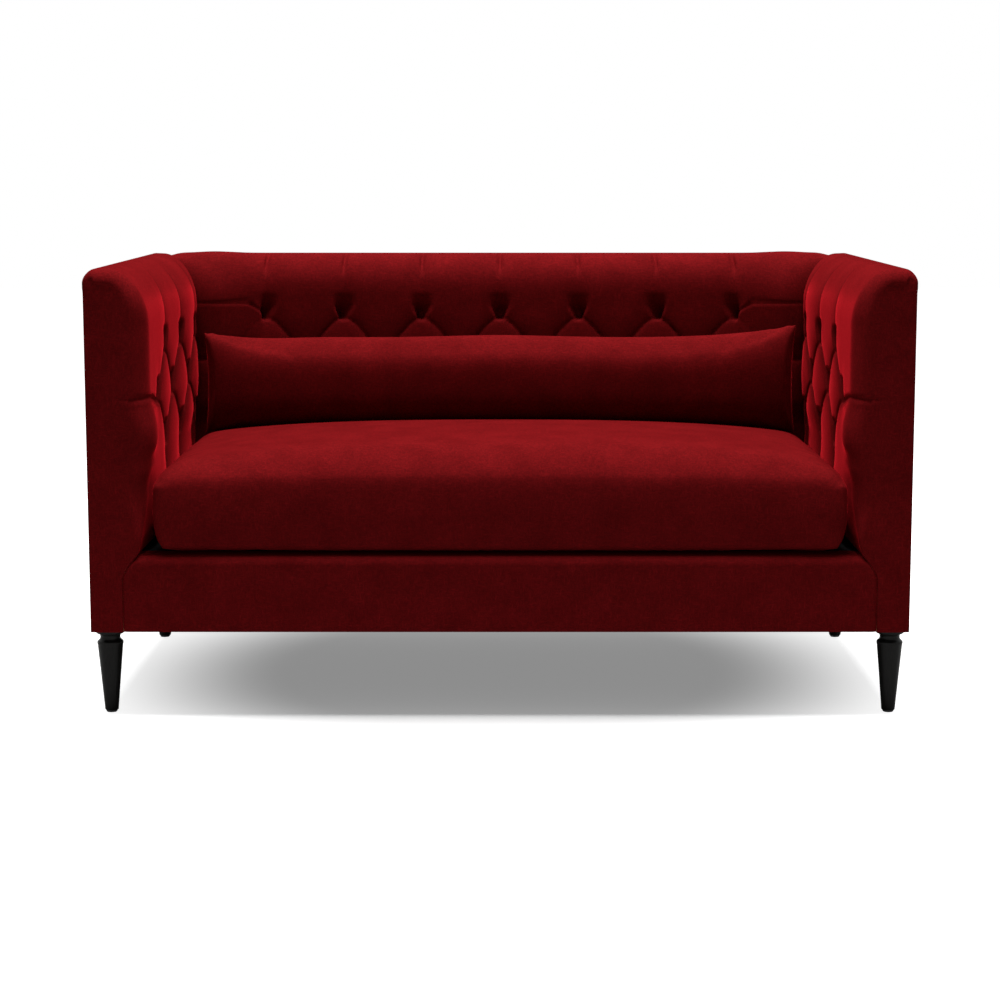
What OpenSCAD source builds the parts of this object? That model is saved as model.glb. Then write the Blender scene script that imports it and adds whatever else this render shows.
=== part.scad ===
// Button-tufted two-seat sofa with arms as high as its back, in millimetres.
// X runs along the sofa, the seat faces -Y, +Z is up, and the floor is at Z = 0.
// Inside the shell, "t" is the distance in from an outer face, and "u" the distance along a pad.

/* [Overall] */
// Width over the two arms
sofa_w = 1524; // [1350:1:1900]
// Depth from the front face to the back face
sofa_d = 838; // [800:1:900]
// Height to the top of the arms and back
sofa_h = 830; // [800:1:880]

/* [Legs] */
// Height of a leg with its glide
leg_h = 160; // [140:1:180]
// Diameter of the collar under the frame
leg_collar_d = 52; // [46:1:56]
// Height of the collar
leg_collar_h = 9; // [6:1:14]
// Diameter of the turned neck
leg_neck_d = 37; // [30:1:42]
// Height of the turned neck
leg_neck_h = 11; // [8:1:16]
// Diameter of the shoulder where the taper starts
leg_shoulder_d = 49; // [44:1:54]
// Diameter of the foot
leg_foot_d = 25; // [20:1:32]
// Height over which the taper starts, below the neck
leg_shoulder_h = 6; // [3:1:10]
// Leg centre in from the side face
leg_side_inset = 30; // [28:1:34]
// Front leg centre behind the front face
leg_front_inset = 46; // [40:1:60]
// Rear leg centre in from the back face
leg_rear_inset = 76; // [60:1:100]

/* [Leg fixings] */
// Diameter of the hanger bolt
bolt_d = 8; // [6:1:10]
// Length of the bolt in the leg
bolt_down = 40; // [30:1:60]
// Length of the bolt in the frame
bolt_up = 34; // [20:1:50]
// Outer diameter of the threaded insert's barrel
insert_d = 11; // [11:0.5:14]
// Length of the insert's barrel
insert_h = 12; // [8:1:18]
// Diameter of the insert's flange
insert_flange_d = 22; // [18:1:26]
// Thickness of the insert's flange
insert_flange_t = 1.6; // [1:0.1:2.5]
// Diameter of the nylon glide
glide_d = 21; // [16:1:22]
// Thickness of the nylon glide
glide_t = 4; // [3:0.5:6]
// Diameter of the glide's nail
glide_nail_d = 2.6; // [2:0.1:4]
// Length of the glide's nail
glide_nail_h = 16; // [10:1:24]

/* [Wooden frame] */
// Thickness of the posts and rails
wood_t = 40; // [34:1:42]
// Depth of a front post along the arm
post_w = 66; // [60:1:90]
// Height of the seat rails
rail_h = 125; // [100:1:140]
// Thickness of the rear seat rail, which also carries the spring ends
rear_rail_t = 60; // [56:1:80]
// Height of the top rails
top_rail_h = 50; // [40:1:60]
// Width of a back upright
upright_w = 40; // [30:1:50]
// Width of a centre stretcher
stretcher_w = 40; // [30:1:50]
// Height of a centre stretcher
stretcher_h = 60; // [40:1:80]
// Distance between the two centre stretchers
stretcher_gap = 440; // [300:1:600]
// Thickness of the arm tack rails
tack_t = 25; // [18:1:30]
// Height of the arm tack rails
tack_h = 42; // [36:1:60]
// Thickness of the tufting boards
tuft_board_t = 5; // [4:0.5:8]
// Length of a corner block along each rail
block_length = 90; // [80:1:110]
// Height of a corner block
block_h = 70; // [50:1:80]
// Diameter of the frame dowels
dowel_d = 10; // [8:1:12]
// Length of the frame dowels
dowel_l = 40; // [30:1:60]
// Diameter of the corner block screws
screw_d = 5; // [4:0.5:6]
// Length of the corner block screws
screw_l = 60; // [50:1:70]
// Diameter of the screw heads
screw_head_d = 9; // [8:0.5:11]
// Thickness of the screw heads
screw_head_t = 3; // [2:0.5:4]

/* [Outer covers] */
// Thickness of the outer velvet with its wadding
cover_t = 3; // [2:0.5:4]
// Thickness of the stiffening board under it
stiffener_t = 3; // [2:0.5:4]
// Thickness of the padding on the front faces
front_t = 12; // [10:1:16]
// Radius of the outer top edge
edge_r = 22; // [15:1:26]

/* [Tufted pads] */
// Thickness of an arm or the back, from the outer face to the inner face
wall_t = 113; // [105:1:120]
// Extra fullness of the pads above the seat
bulge = 8; // [4:1:12]
// Extra fullness of the lowest puff at the front of each arm
front_puff = 12; // [0:1:14]
// Middle of that puff behind the front face
puff_behind = 62; // [50:1:75]
// Middle of that puff above the seat cushion's edge
puff_above = 58; // [45:1:75]
// Reach of that puff
puff_reach = 46; // [36:1:56]
// Width of the flat top of an arm or the back
top_flat = 42; // [30:1:50]
// Height of the curve from the flat top to the inner face
crest_h = 100; // [70:1:115]
// Padding over the top rails
top_pad = 35; // [30:1:45]
// How far the pads tuck back at the deck
tuck = 25; // [15:1:30]
// Height over which they tuck back
tuck_h = 22; // [15:1:30]
// Depth of the pleats between the puffs
pleat_depth = 14; // [8:1:18]
// Extra depth at a button
pit_depth = 9; // [4:1:12]
// Reach of a button's dimple
pit_r = 26; // [18:1:34]

/* [Buttons] */
// Diameter of a covered button
button_d = 24; // [20:1:28]
// Thickness of a covered button
button_h = 9; // [7:0.5:11]
// Depth of a button's underside below the inner face
button_sink = 25; // [20:1:30]
// Diameter of the button twine
twine_d = 3; // [2:0.5:4]
// Diameter of the toggle that holds the twine behind the board
toggle_d = 18; // [12:1:24]
// Thickness of the toggle
toggle_t = 3; // [2:0.5:5]
// Distance between the back's buttons in a row
back_pitch = 165; // [150:1:190]
// Distance between the back's rows
back_gap = 95; // [85:1:100]
// First back row below the top
back_drop = 125; // [115:1:135]
// Distance between an arm's buttons in a row
arm_pitch = 195; // [185:1:215]
// Distance between an arm's rows
arm_gap = 90; // [80:1:94]
// First arm row below the top
arm_drop = 165; // [150:1:170]
// First button of an arm's top row behind the front face
arm_first = 290; // [270:1:300]

/* [Seat deck] */
// Size of the spring wire
wire_d = 4; // [3:0.5:4]
// Width of a zigzag spring
spring_w = 50; // [40:1:60]
// Distance between the springs
spring_gap = 220; // [200:1:230]
// Distance between the rows of a spring
spring_row = 44; // [36:1:56]
// Length of a spring clip along the rail
clip_l = 18; // [14:1:24]
// Wall of a spring clip
clip_wall = 1.2; // [1:0.1:1.5]
// Diameter of the tie wires
tie_d = 2.2; // [1.6:0.1:2.4]
// Distance between the tie wires
tie_gap = 160; // [120:1:200]
// Space for the springs above the rails
spring_room = 8; // [7.5:0.1:10]
// Thickness of the insulating felt
felt_t = 6; // [4:0.5:8]
// Thickness of the deck cloth
deck_t = 3; // [2:0.5:4]
// Thickness of the dust cover under the frame
dust_t = 1.2; // [0.8:0.1:2]
// Radius of the padded top edge of the front rail
rail_edge_r = 16; // [10:1:18]
// Depth of the front rail's padded top
rail_top_d = 74; // [70:1:100]

/* [Arm front seam] */
// Width of an arm's front at its foot
arm_foot_w = 62; // [56:1:66]
// Height over which the front flares out below the deck
flare_h = 45; // [35:1:55]

/* [Seat cushion] */
// Gap at each end of the seat cushion
seat_side_gap = 3; // [2:0.5:6]
// Gap between the seat cushion and the back pad
seat_back_gap = 4; // [3:0.5:8]
// Height of the seat cushion at its edges
seat_edge_h = 165; // [150:1:170]
// Rise of the crown above the edges
seat_crown = 41; // [30:1:60]
// Radius of the top edge in section
seat_edge_r = 34; // [26:1:40]
// Radius of the bottom edge in section
seat_foot_r = 16; // [10:1:22]
// How far in from that edge the cushion starts to lie flat
seat_sole = 30; // [20:1:50]
// Radius of the corners in plan
seat_corner_r = 30; // [20:1:40]
// How far the sides draw in between the corners
seat_draw = 4; // [2:0.5:6]
// Wadding and cover around the foam block
seat_wrap = 46; // [42:1:55]

/* [Seat zip] */
// Length of the zip
zip_l = 900; // [700:1:1000]
// Width of the zip's tape
zip_w = 28; // [24:1:34]
// Thickness of the zip's tape
zip_t = 1.2; // [1:0.1:1.6]
// Width of the closed teeth
teeth_w = 5; // [4:0.5:7]
// Height of the closed teeth above the tape
teeth_t = 1.6; // [1.2:0.1:2]
// Length of the zip's slider
slider_l = 14; // [10:1:20]
// Width of the zip's slider
slider_w = 11; // [10:1:14]
// Thickness of the slider's wall
slider_wall = 1.2; // [1:0.1:1.4]

/* [Lumbar pillow] */
// Gap between each of the pillow's ears and the arm
pillow_side_gap = 19; // [16:1:70]
// Height of the pillow at its middle
pillow_h = 187; // [165:1:200]
// Thickness of the pillow
pillow_t = 118; // [100:1:120]
// Extra height of the left ear
left_ear = 12; // [0:1:20]
// Extra height of the right ear
right_ear = 24; // [0:1:30]
// Rise of the pillow's top edge between waves
pillow_wave = 3; // [0:1:6]
// Least thickness at the sewn edge
pillow_seam = 4; // [3:0.5:6]
// Cover and fibre layer around the insert
pillow_wrap = 9; // [7:0.5:12]

/* [Clearances] */
// Space between soft pieces that touch
soft_gap = 0.3; // [0.3:0.05:0.5]
// Space around a bolt, dowel or screw in its hole
hole_gap = 0.1; // [0.05:0.05:0.2]
// Space around the twine in its hole
twine_gap = 0.25; // [0.1:0.05:0.4]
// Space around a button in its pocket
button_gap = 1; // [0.5:0.1:1.5]
// Space around a leg's collar in the dust cover
collar_gap = 2; // [1:0.5:4]
// Space between the slider and the teeth
slider_gap = 0.3; // [0.2:0.05:0.4]

/* [Hidden] */
$fn = 48;

// How far a cut runs past a face
past = 1;

// Planes of the shell
half_w = sofa_w / 2;
front_y = -sofa_d / 2;
rear_y = sofa_d / 2;
post_t0 = cover_t + stiffener_t;
post_t1 = post_t0 + wood_t;
pad_t0 = post_t1 + tuft_board_t;
wood_front_y = front_y + front_t;
post_rear_y = wood_front_y + post_w;
rear_post_y = rear_y - post_t1;
rear_rail_y = rear_y - post_t0 - rear_rail_t;
rail_x = half_w - post_t1;
rail_top_z = leg_h + rail_h;
board_top_z = sofa_h - top_pad;
top_rail_z = board_top_z - top_rail_h;
felt_z = rail_top_z + spring_room;
deck_z = felt_z + felt_t + deck_t;
tack_z = rail_top_z;

// Widest part of a pad, which everything between the arms stays clear of
full_t = wall_t + bulge;
seat_top_z = deck_z + soft_gap + seat_edge_h;

// Buttons of an arm, measured from the first one in the top row, as [along, down]
arm_rows = 3;
arm_margin = 30;
arm_cols = 1 + floor((sofa_d - full_t - arm_margin - arm_first) / arm_pitch);
arm_spots = [
    for (row = [0 : arm_rows - 1]) for (col = [0 : arm_cols - 1])
        [(col - row % 2 / 2) * arm_pitch, row * arm_gap]
];

// Buttons of the back, measured from its middle
back_rows = 3;
back_margin = 40;
back_reach = half_w - full_t - back_margin;
back_even = floor(back_reach / back_pitch);
back_odd = floor(back_reach / back_pitch + 1 / 2);
back_spots = [
    for (row = [0 : back_rows - 1])
        for (col = row % 2 == 0 ? [-back_even : back_even] : [-back_odd : back_odd - 1])
            [(col + row % 2 / 2) * back_pitch, row * back_gap]
];

// A rule for a pad's pleats: pitch, gap, height of the first row, rows, first and last column, buttons
arm_rule = [
    arm_pitch, arm_gap, sofa_h - arm_drop, arm_rows,
    -arm_pitch / 2, (arm_cols - 1) * arm_pitch, arm_spots
];
back_rule = [
    back_pitch, back_gap, sofa_h - back_drop, back_rows,
    -max(back_even, back_odd - 1 / 2) * back_pitch,
    max(back_even, back_odd - 1 / 2) * back_pitch, back_spots
];

// Plain curves
function smooth(x) = let (c = min(max(x, 0), 1)) c * c * (3 - 2 * c);
function bell(x) = exp(-x * x);
function arc(centre, rx, ry, from, to, steps) = [
    for (k = [0 : steps])
        let (a = from + (to - from) * k / steps)
            centre + [rx * cos(a), ry * sin(a)]
];

// Fullness between the pleats: 0 along a pleat and 1 in the middle of a diamond.
// Above the first row the diamonds open into upright channels.
function fullness(u, v, rule) =
    let (
        uc = min(max(u, rule[4]), rule[5]),
        vc = min(max(v, 0), (rule[3] - 1) * rule[1]),
        a = uc / rule[0] + vc / (2 * rule[1]),
        b = uc / rule[0] - vc / (2 * rule[1])
    )
    sqrt(abs(sin(180 * a) * sin(180 * b)));
function dimple(u, v, rule) = max([for (s = rule[6]) bell(norm([u, v] - s) / pit_r)]);

// How far the inner face sinks below its full puffs
bed_fade_h = 60;
shallow = 0.45;
function sink(u, z, rule) =
    let (v = rule[2] - z, above_seat = smooth((z - seat_top_z + bed_fade_h) / bed_fade_h))
        pleat_depth * (1 - fullness(u, v, rule)) * (shallow + (1 - shallow) * above_seat)
            + pit_depth * dimple(u, v, rule);

// Inner face of a wall before its pleats, where "run" is the distance behind the front face
front_fade = 80;
function inner_t(z, run) =
    wall_t - tuck * exp(-(z - deck_z) / tuck_h)
        + bulge * smooth((z - seat_top_z) / bed_fade_h) * smooth((run - front_t) / front_fade)
            * smooth((sofa_h - crest_h + bed_fade_h - z) / bed_fade_h)
        + front_puff * bell((run - puff_behind) / puff_reach)
            * bell((z - seat_top_z - puff_above) / puff_reach)
            * smooth((z - seat_top_z) / puff_reach);

// Levels of the inner face, which meet each row of buttons and halve the space between rows
tuck_step = 26;
function inner_levels(rule) =
    let (
        last_row_z = rule[2] - (rule[3] - 1) * rule[1],
        low = last_row_z - rule[1] / 2,
        crest_z = sofa_h - crest_h,
        count = 2 * rule[3] + (rule[2] + rule[1] / 2 < crest_z - pit_depth ? 1 : 0)
    )
    concat([deck_z, deck_z + tuck_step, (deck_z + tuck_step + low) / 2],
        [for (k = [0 : count - 1]) low + k * rule[1] / 2]);
corner_points = 2;
low_levels = 3;
button_level = corner_points + low_levels + 1;

// Closed section of a padded wall at one place along its run, as [t, z]. It starts at the corner
// under the top rail, from which a cap's triangles reach every other point.
crest_steps = 5;
edge_steps = 2;
crest_fade = 0.75;
function wall_section(u, run, rule) =
    let (
        crest_z = sofa_h - crest_h,
        start_t = inner_t(crest_z, run),
        dip = sink(u, crest_z, rule)
    )
    concat(
        [[pad_t0, board_top_z], [pad_t0, deck_z]],
        [for (z = inner_levels(rule)) [inner_t(z, run) - sink(u, z, rule), z]],
        [for (k = [0 : crest_steps])
            let (a = 90 * k / crest_steps, d = dip * (1 - crest_fade * k / crest_steps))
                [top_flat + (start_t - top_flat - d) * cos(a), crest_z + (crest_h - d) * sin(a)]],
        arc([edge_r, sofa_h - edge_r], edge_r, edge_r, 90, 180, edge_steps),
        [[0, board_top_z]]
    );

// Skin through rings of equal length, closed at both ends. The diagonals follow the pleats
// that leave a button at ring "start" and point "level". A cap fans out from the first point
// of its ring, or is closed by strips where the ring is symmetric.
module loft(rings, start = 0, level = 0, strips = false) {
    n = len(rings[0]);
    last = len(rings) - 1;
    sides = [
        for (i = [0 : last - 1]) for (j = [0 : n - 1])
            let (
                a = i * n + j, b = i * n + (j + 1) % n,
                c = (i + 1) * n + (j + 1) % n, d = (i + 1) * n + j,
                even = (i - start + j - level) % 2 == 0
            )
            each (even ? [[a, c, b], [a, d, c]] : [[a, d, b], [b, d, c]])
    ];
    first_end = strips ? strip_end(n, 0, false) : [[for (j = [0 : n - 1]) j]];
    last_end = strips ? strip_end(n, last * n, true) : [[for (j = [n : -1 : 1]) last * n + j % n]];
    polyhedron(points = [for (r = rings) each r], faces = concat(sides, first_end, last_end));
}
function strip_end(n, base, turned) = [
    for (k = [0 : n / 2 - 2])
        let (a = base + k, b = base + k + 1, c = base + n - 2 - k, d = base + n - 1 - k)
            each (turned ? [[a, c, b], [a, d, c]] : [[a, b, c], [a, c, d]])
];

// A piece of the right half, mirrored from the left
module mirrored(right) {
    if (right)
        mirror([1, 0, 0]) children();
    else
        children();
}

// Every button of one arm, seen from the left arm: origin at its seat, +Z towards the sitter
button_t = wall_t - button_sink;
module at_arm_buttons() {
    for (s = arm_spots)
        translate([-half_w + button_t, front_y + arm_first + s[0], arm_rule[2] - s[1]])
            rotate([0, 90, 0]) children();
}
module at_back_buttons() {
    for (s = back_spots)
        translate([s[0], rear_y - button_t, back_rule[2] - s[1]])
            rotate([90, 0, 0]) children();
}

// A covered button, its pocket in the pad, and its twine with a toggle behind the board
button_dome = [[0, 0], [1, 0], [1, 0.35], [0.88, 0.68], [0.6, 0.92], [0, 1]];
module button() {
    rotate_extrude()
        polygon([for (p = button_dome) [p[0] * button_d / 2, p[1] * button_h]]);
}
module button_pocket() {
    cylinder(d = button_d + 2 * button_gap, h = wall_t);
    translate([0, 0, -button_t])
        cylinder(d = twine_d + 2 * twine_gap, h = button_t + past);
}
module twine() {
    twine_l = button_t - post_t1;
    translate([0, 0, -twine_l]) cylinder(d = twine_d, h = twine_l);
    translate([0, 0, -twine_l - toggle_t]) cylinder(d = toggle_d, h = toggle_t);
}
module twine_hole() {
    translate([0, 0, -button_t]) cylinder(d = twine_d + 2 * twine_gap, h = button_t);
}

// Leg places, and everything on a leg's axis
leg_places = [
    for (x = [-1, 1]) for (y = [front_y + leg_front_inset, rear_y - leg_rear_inset])
        [x * (half_w - leg_side_inset), y, 0]
];
module at_legs() {
    for (p = leg_places) translate(p) children();
}
bolt_play = 1;
module leg_fixing_holes() {
    at_legs() translate([0, 0, leg_h]) {
        translate([0, 0, -past]) {
            cylinder(d = insert_flange_d + 2 * hole_gap, h = past + insert_flange_t);
            cylinder(d = insert_d + 2 * hole_gap, h = past + insert_flange_t + insert_h);
        }
        cylinder(d = bolt_d + 4 * hole_gap, h = bolt_up + 2 * bolt_play);
    }
}

// Dowels of the frame, drawn with extra room when they are holes
module dowel(extra) {
    translate([0, 0, -dowel_l / 2 - extra]) cylinder(d = dowel_d + 2 * extra, h = dowel_l + 2 * extra);
}
module dowel_shapes(extra) {
    rail_levels = [leg_h + rail_h / 4, leg_h + rail_h * 3 / 4];
    mid_front_y = wood_front_y + wood_t / 2;
    mid_rear_y = rear_y - post_t0 - wood_t / 2;
    mid_x = half_w - post_t0 - wood_t / 2;
    top_z = top_rail_z + top_rail_h / 2;
    for (side = [-1, 1]) {
        for (z = rail_levels) {
            translate([side * rail_x, mid_front_y, z]) rotate([0, 90, 0]) dowel(extra);
            translate([side * rail_x, rear_rail_y + rear_rail_t / 2, z]) rotate([0, 90, 0]) dowel(extra);
            translate([side * (mid_x + wood_t / 4), post_rear_y, z]) rotate([90, 0, 0]) dowel(extra);
        }
        translate([side * mid_x, post_rear_y, top_z]) rotate([90, 0, 0]) dowel(extra);
        translate([side * mid_x, rear_post_y, top_z]) rotate([90, 0, 0]) dowel(extra);
        translate([side * rail_x, mid_rear_y + wood_t / 4, top_z]) rotate([0, 90, 0]) dowel(extra);
        translate([side * mid_x, mid_rear_y, rail_top_z]) dowel(extra);
        for (z = [rail_top_z, top_rail_z])
            translate([side * upright_x, mid_rear_y, z]) dowel(extra);
        for (y = [wood_front_y + wood_t, rear_rail_y])
            translate([side * stretcher_gap / 2, y, leg_h + stretcher_h / 2])
                rotate([90, 0, 0]) dowel(extra);
    }
}

// Corner blocks, seen from the front left corner, and their screws
block_z = leg_h + (rail_h - block_h) / 2;
screw_share = 0.42;
screw_in = block_length * screw_share;
module at_corners() {
    for (right = [false, true]) mirrored(right) {
        translate([-rail_x, wood_front_y + wood_t, block_z]) children();
        translate([-rail_x, rear_rail_y, block_z]) mirror([0, 1, 0]) children();
    }
}
module block_screw(extra, head_room) {
    reach = block_length - screw_in - screw_head_t * 2;
    translate([0, 0, reach - screw_l - extra]) cylinder(d = screw_d + 2 * extra, h = screw_l + extra);
    translate([0, 0, reach]) cylinder(d = screw_head_d + 2 * extra, h = screw_head_t + head_room);
}
module screw_shapes(extra, head_room) {
    at_corners() {
        translate([screw_in, 0, block_h / 3]) rotate([-90, 0, 0]) block_screw(extra, head_room);
        translate([0, screw_in, block_h * 2 / 3]) rotate([0, 90, 0]) block_screw(extra, head_room);
    }
}

// A squared piece of wood between two corners, with all its holes
module timber(low, high) {
    difference() {
        translate(low) cube(high - low);
        dowel_shapes(hole_gap);
        screw_shapes(hole_gap, screw_head_t);
        leg_fixing_holes();
    }
}

wood = "burlywood";
board = "peru";
velvet = [0.42, 0.03, 0.05];
steel = "silver";
black = [0.09, 0.09, 0.09];

// Timber of the frame
module front_seat_rail() {
    color(wood) timber([-rail_x, wood_front_y, leg_h], [rail_x, wood_front_y + wood_t, rail_top_z]);
}
module rear_seat_rail() {
    color(wood) timber([-rail_x, rear_rail_y, leg_h], [rail_x, rear_y - post_t0, rail_top_z]);
}
module side_rail(right) {
    color(wood) mirrored(right)
        timber([-half_w + post_t0, post_rear_y, leg_h], [-rail_x, rear_y - post_t0, rail_top_z]);
}
module centre_stretchers() {
    color(wood) for (x = [-1, 1])
        timber([x * stretcher_gap / 2 - stretcher_w / 2, wood_front_y + wood_t, leg_h],
            [x * stretcher_gap / 2 + stretcher_w / 2, rear_rail_y, leg_h + stretcher_h]);
}
module corner_blocks() {
    color(wood) difference() {
        at_corners() linear_extrude(block_h) polygon([[0, 0], [block_length, 0], [0, block_length]]);
        screw_shapes(hole_gap, block_length);
    }
}
module front_post(right) {
    color(wood) mirrored(right)
        timber([-half_w + post_t0, wood_front_y, leg_h], [-rail_x, post_rear_y, board_top_z]);
}
module rear_posts() {
    color(wood) for (right = [false, true]) mirrored(right)
        timber([-half_w + post_t0, rear_post_y, rail_top_z], [-rail_x, rear_y - post_t0, board_top_z]);
}
module arm_top_rail(right) {
    color(wood) mirrored(right)
        timber([-half_w + post_t0, post_rear_y, top_rail_z], [-rail_x, rear_post_y, board_top_z]);
}
module back_top_rail() {
    color(wood) timber([-rail_x, rear_post_y, top_rail_z], [rail_x, rear_y - post_t0, board_top_z]);
}
// The uprights stand midway between two columns of buttons
upright_x = (floor(back_even / 2) + 1 / 4) * back_pitch;
module back_uprights() {
    color(wood) for (x = [-1, 1])
        timber([x * upright_x - upright_w / 2, rear_post_y, rail_top_z],
            [x * upright_x + upright_w / 2, rear_y - post_t0, top_rail_z]);
}
module arm_tack_rails() {
    color(wood) for (right = [false, true]) mirrored(right)
        timber([-rail_x - tack_t, post_rear_y, tack_z], [-rail_x, rear_post_y, tack_z + tack_h]);
}
module frame_dowels() {
    color("tan") dowel_shapes(0);
}
module corner_screws() {
    color(steel) screw_shapes(0, 0);
}

// Boards that the pads and covers are built on
module arm_tufting_board(right) {
    color(board) mirrored(right) difference() {
        translate([-rail_x, wood_front_y, deck_z])
            cube([tuft_board_t, rear_post_y - wood_front_y, board_top_z - deck_z]);
        at_arm_buttons() twine_hole();
    }
}
module back_tufting_board() {
    board_x = half_w - pad_t0;
    color(board) difference() {
        translate([-board_x, rear_y - pad_t0, deck_z])
            cube([2 * board_x, tuft_board_t, board_top_z - deck_z]);
        at_back_buttons() twine_hole();
    }
}
module side_stiffener(right) {
    color(board) mirrored(right) translate([-half_w + cover_t, wood_front_y, leg_h])
        cube([stiffener_t, rear_y - cover_t - wood_front_y, board_top_z - leg_h]);
}
module back_stiffener() {
    stiffener_x = half_w - post_t0;
    color(board) translate([-stiffener_x, rear_y - post_t0, leg_h])
        cube([2 * stiffener_x, stiffener_t, board_top_z - leg_h]);
}

// Zigzag springs: a flat wire outline that turns back and forth between the two rails
spring_z = rail_top_z + clip_wall;
spring_front_y = wood_front_y + wood_t / 2;
clip_reach = 8;
clip_lip = 2;
spring_rear_y = rear_rail_y + clip_reach + wire_d;
spring_rows = 2 * floor((spring_rear_y - spring_front_y) / spring_row / 2) + 1;
row_step = (spring_rear_y - spring_front_y) / (spring_rows - 1);
spring_count = 2 * floor((rail_x - block_length - spring_w / 2) / spring_gap + 1 / 2);
spring_xs = [for (k = [0 : spring_count - 1]) (k - (spring_count - 1) / 2) * spring_gap];
bend_steps = 4;
function bend(row, radius) =
    let (
        side = row % 2 == 0 ? 1 : -1,
        y = (row + 1 / 2) * row_step,
        x = side * (spring_w / 2 - row_step / 2)
    )
    [for (k = [0 : bend_steps])
        let (a = -90 + 180 * k / bend_steps) [x + side * radius * cos(a), y + radius * sin(a)]];
module zigzag() {
    edge = spring_w / 2;
    half = wire_d / 2;
    near = [for (row = [0 : spring_rows - 2]) each bend(row, row_step / 2 + (row % 2 == 0 ? half : -half))];
    far = [for (row = [0 : spring_rows - 2]) each bend(row, row_step / 2 - (row % 2 == 0 ? half : -half))];
    top = (spring_rows - 1) * row_step;
    outline = concat(
        [[-edge, -half]], near, [[edge, top - half], [edge, top + half]],
        [for (k = [len(far) - 1 : -1 : 0]) far[k]], [[-edge, half]]
    );
    linear_extrude(wire_d) polygon(outline);
}
module zigzag_springs() {
    color(steel) for (x = spring_xs) translate([x, spring_front_y, spring_z]) zigzag();
}
// A clip holds the end row of a spring and opens towards the middle of the seat
module clip() {
    slot = wire_d + 2 * hole_gap;
    difference() {
        translate([-clip_l / 2, -clip_reach, 0])
            cube([clip_l, clip_reach + wire_d / 2 + clip_lip, wire_d + 2 * clip_wall]);
        translate([-clip_l, -slot / 2, clip_wall])
            cube([2 * clip_l, clip_reach + slot, wire_d + hole_gap]);
    }
}
tie_count = 3;
tie_ys = [for (k = [0 : tie_count - 1]) (k - (tie_count - 1) / 2) * tie_gap];
tie_z = spring_z + wire_d + tie_d / 2;
tie_block = [9, 14, 12];
tie_end = 2;
module spring_clips() {
    color(steel) {
        for (x = spring_xs) {
            translate([x, spring_front_y, rail_top_z]) clip();
            translate([x, spring_rear_y, rail_top_z]) mirror([0, 1, 0]) clip();
        }
        for (right = [false, true]) mirrored(right) for (y = tie_ys) difference() {
            translate([-rail_x, y - tie_block[1] / 2, tie_z + tie_d / 2 + hole_gap - tie_block[2]])
                cube(tie_block);
            translate([-rail_x + tie_end, y, tie_z]) rotate([0, 90, 0])
                cylinder(d = tie_d + 2 * hole_gap, h = tie_block[0]);
        }
    }
}
module tie_wires() {
    tie_l = 2 * (rail_x - tie_end - hole_gap);
    color(steel) for (y = tie_ys)
        translate([-tie_l / 2, y, tie_z]) rotate([0, 90, 0]) cylinder(d = tie_d, h = tie_l);
}

// Deck over the springs, and the cloth under the frame
deck_x = rail_x - soft_gap;
deck_front_y = wood_front_y + rail_top_d - front_t;
module deck_felt() {
    color("gray") translate([-deck_x, deck_front_y + soft_gap, felt_z])
        cube([2 * deck_x, rear_post_y - deck_front_y - 2 * soft_gap, felt_t]);
}
module deck_cloth() {
    color("dimgray") translate([-deck_x, deck_front_y + soft_gap, felt_z + felt_t])
        cube([2 * deck_x, rear_post_y - deck_front_y - 2 * soft_gap, deck_t]);
}
dust_margin = 2;
module dust_cover() {
    inset = post_t0 + dust_margin;
    color(black) difference() {
        translate([-half_w + inset, front_y + front_t, leg_h - dust_t])
            cube([sofa_w - 2 * inset, sofa_d - front_t - inset, dust_t]);
        at_legs() cylinder(d = leg_collar_d + 2 * collar_gap, h = leg_h + past);
    }
}

// Tufted pads. Each ring is one section of the wall, and the rings meet the columns of buttons.
ring_margin = 10;
arm_before = floor((arm_first - front_t - ring_margin) / (arm_pitch / 4));
arm_after = floor((sofa_d - full_t - ring_margin - arm_first) / (arm_pitch / 4));
module arm_pad(right) {
    inner = [
        for (k = [-arm_before : arm_after])
            let (u = k * arm_pitch / 4, run = arm_first + u)
                [for (p = wall_section(u, run, arm_rule)) [-half_w + p[0], front_y + run, p[1]]]
    ];
    front = [
        for (p = wall_section(front_t - arm_first, front_t, arm_rule))
            [-half_w + p[0], wood_front_y, p[1]]
    ];
    mitre = [
        for (p = wall_section(sofa_d - full_t - arm_first, sofa_d - full_t, arm_rule))
            [-half_w + p[0], rear_y - p[0] - soft_gap, p[1]]
    ];
    color(velvet) mirrored(right) difference() {
        loft(concat([mitre], [for (k = [len(inner) - 1 : -1 : 0]) inner[k]], [front]),
            1 + arm_after, button_level);
        at_arm_buttons() button_pocket();
    }
}
back_side = floor((half_w - full_t - ring_margin) / (back_pitch / 4));
module back_pad() {
    inner = [
        for (k = [-back_side : back_side])
            let (u = k * back_pitch / 4)
                [for (p = wall_section(u, sofa_d, back_rule)) [u, rear_y - p[0], p[1]]]
    ];
    end = wall_section(half_w - full_t, sofa_d, back_rule);
    left = [for (p = end) [-half_w + p[0] + soft_gap, rear_y - p[0], p[1]]];
    right = [for (p = end) [half_w - p[0] - soft_gap, rear_y - p[0], p[1]]];
    color(velvet) difference() {
        loft(concat([right], [for (k = [len(inner) - 1 : -1 : 0]) inner[k]], [left]),
            1 + back_side, button_level);
        at_back_buttons() button_pocket();
    }
}

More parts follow.
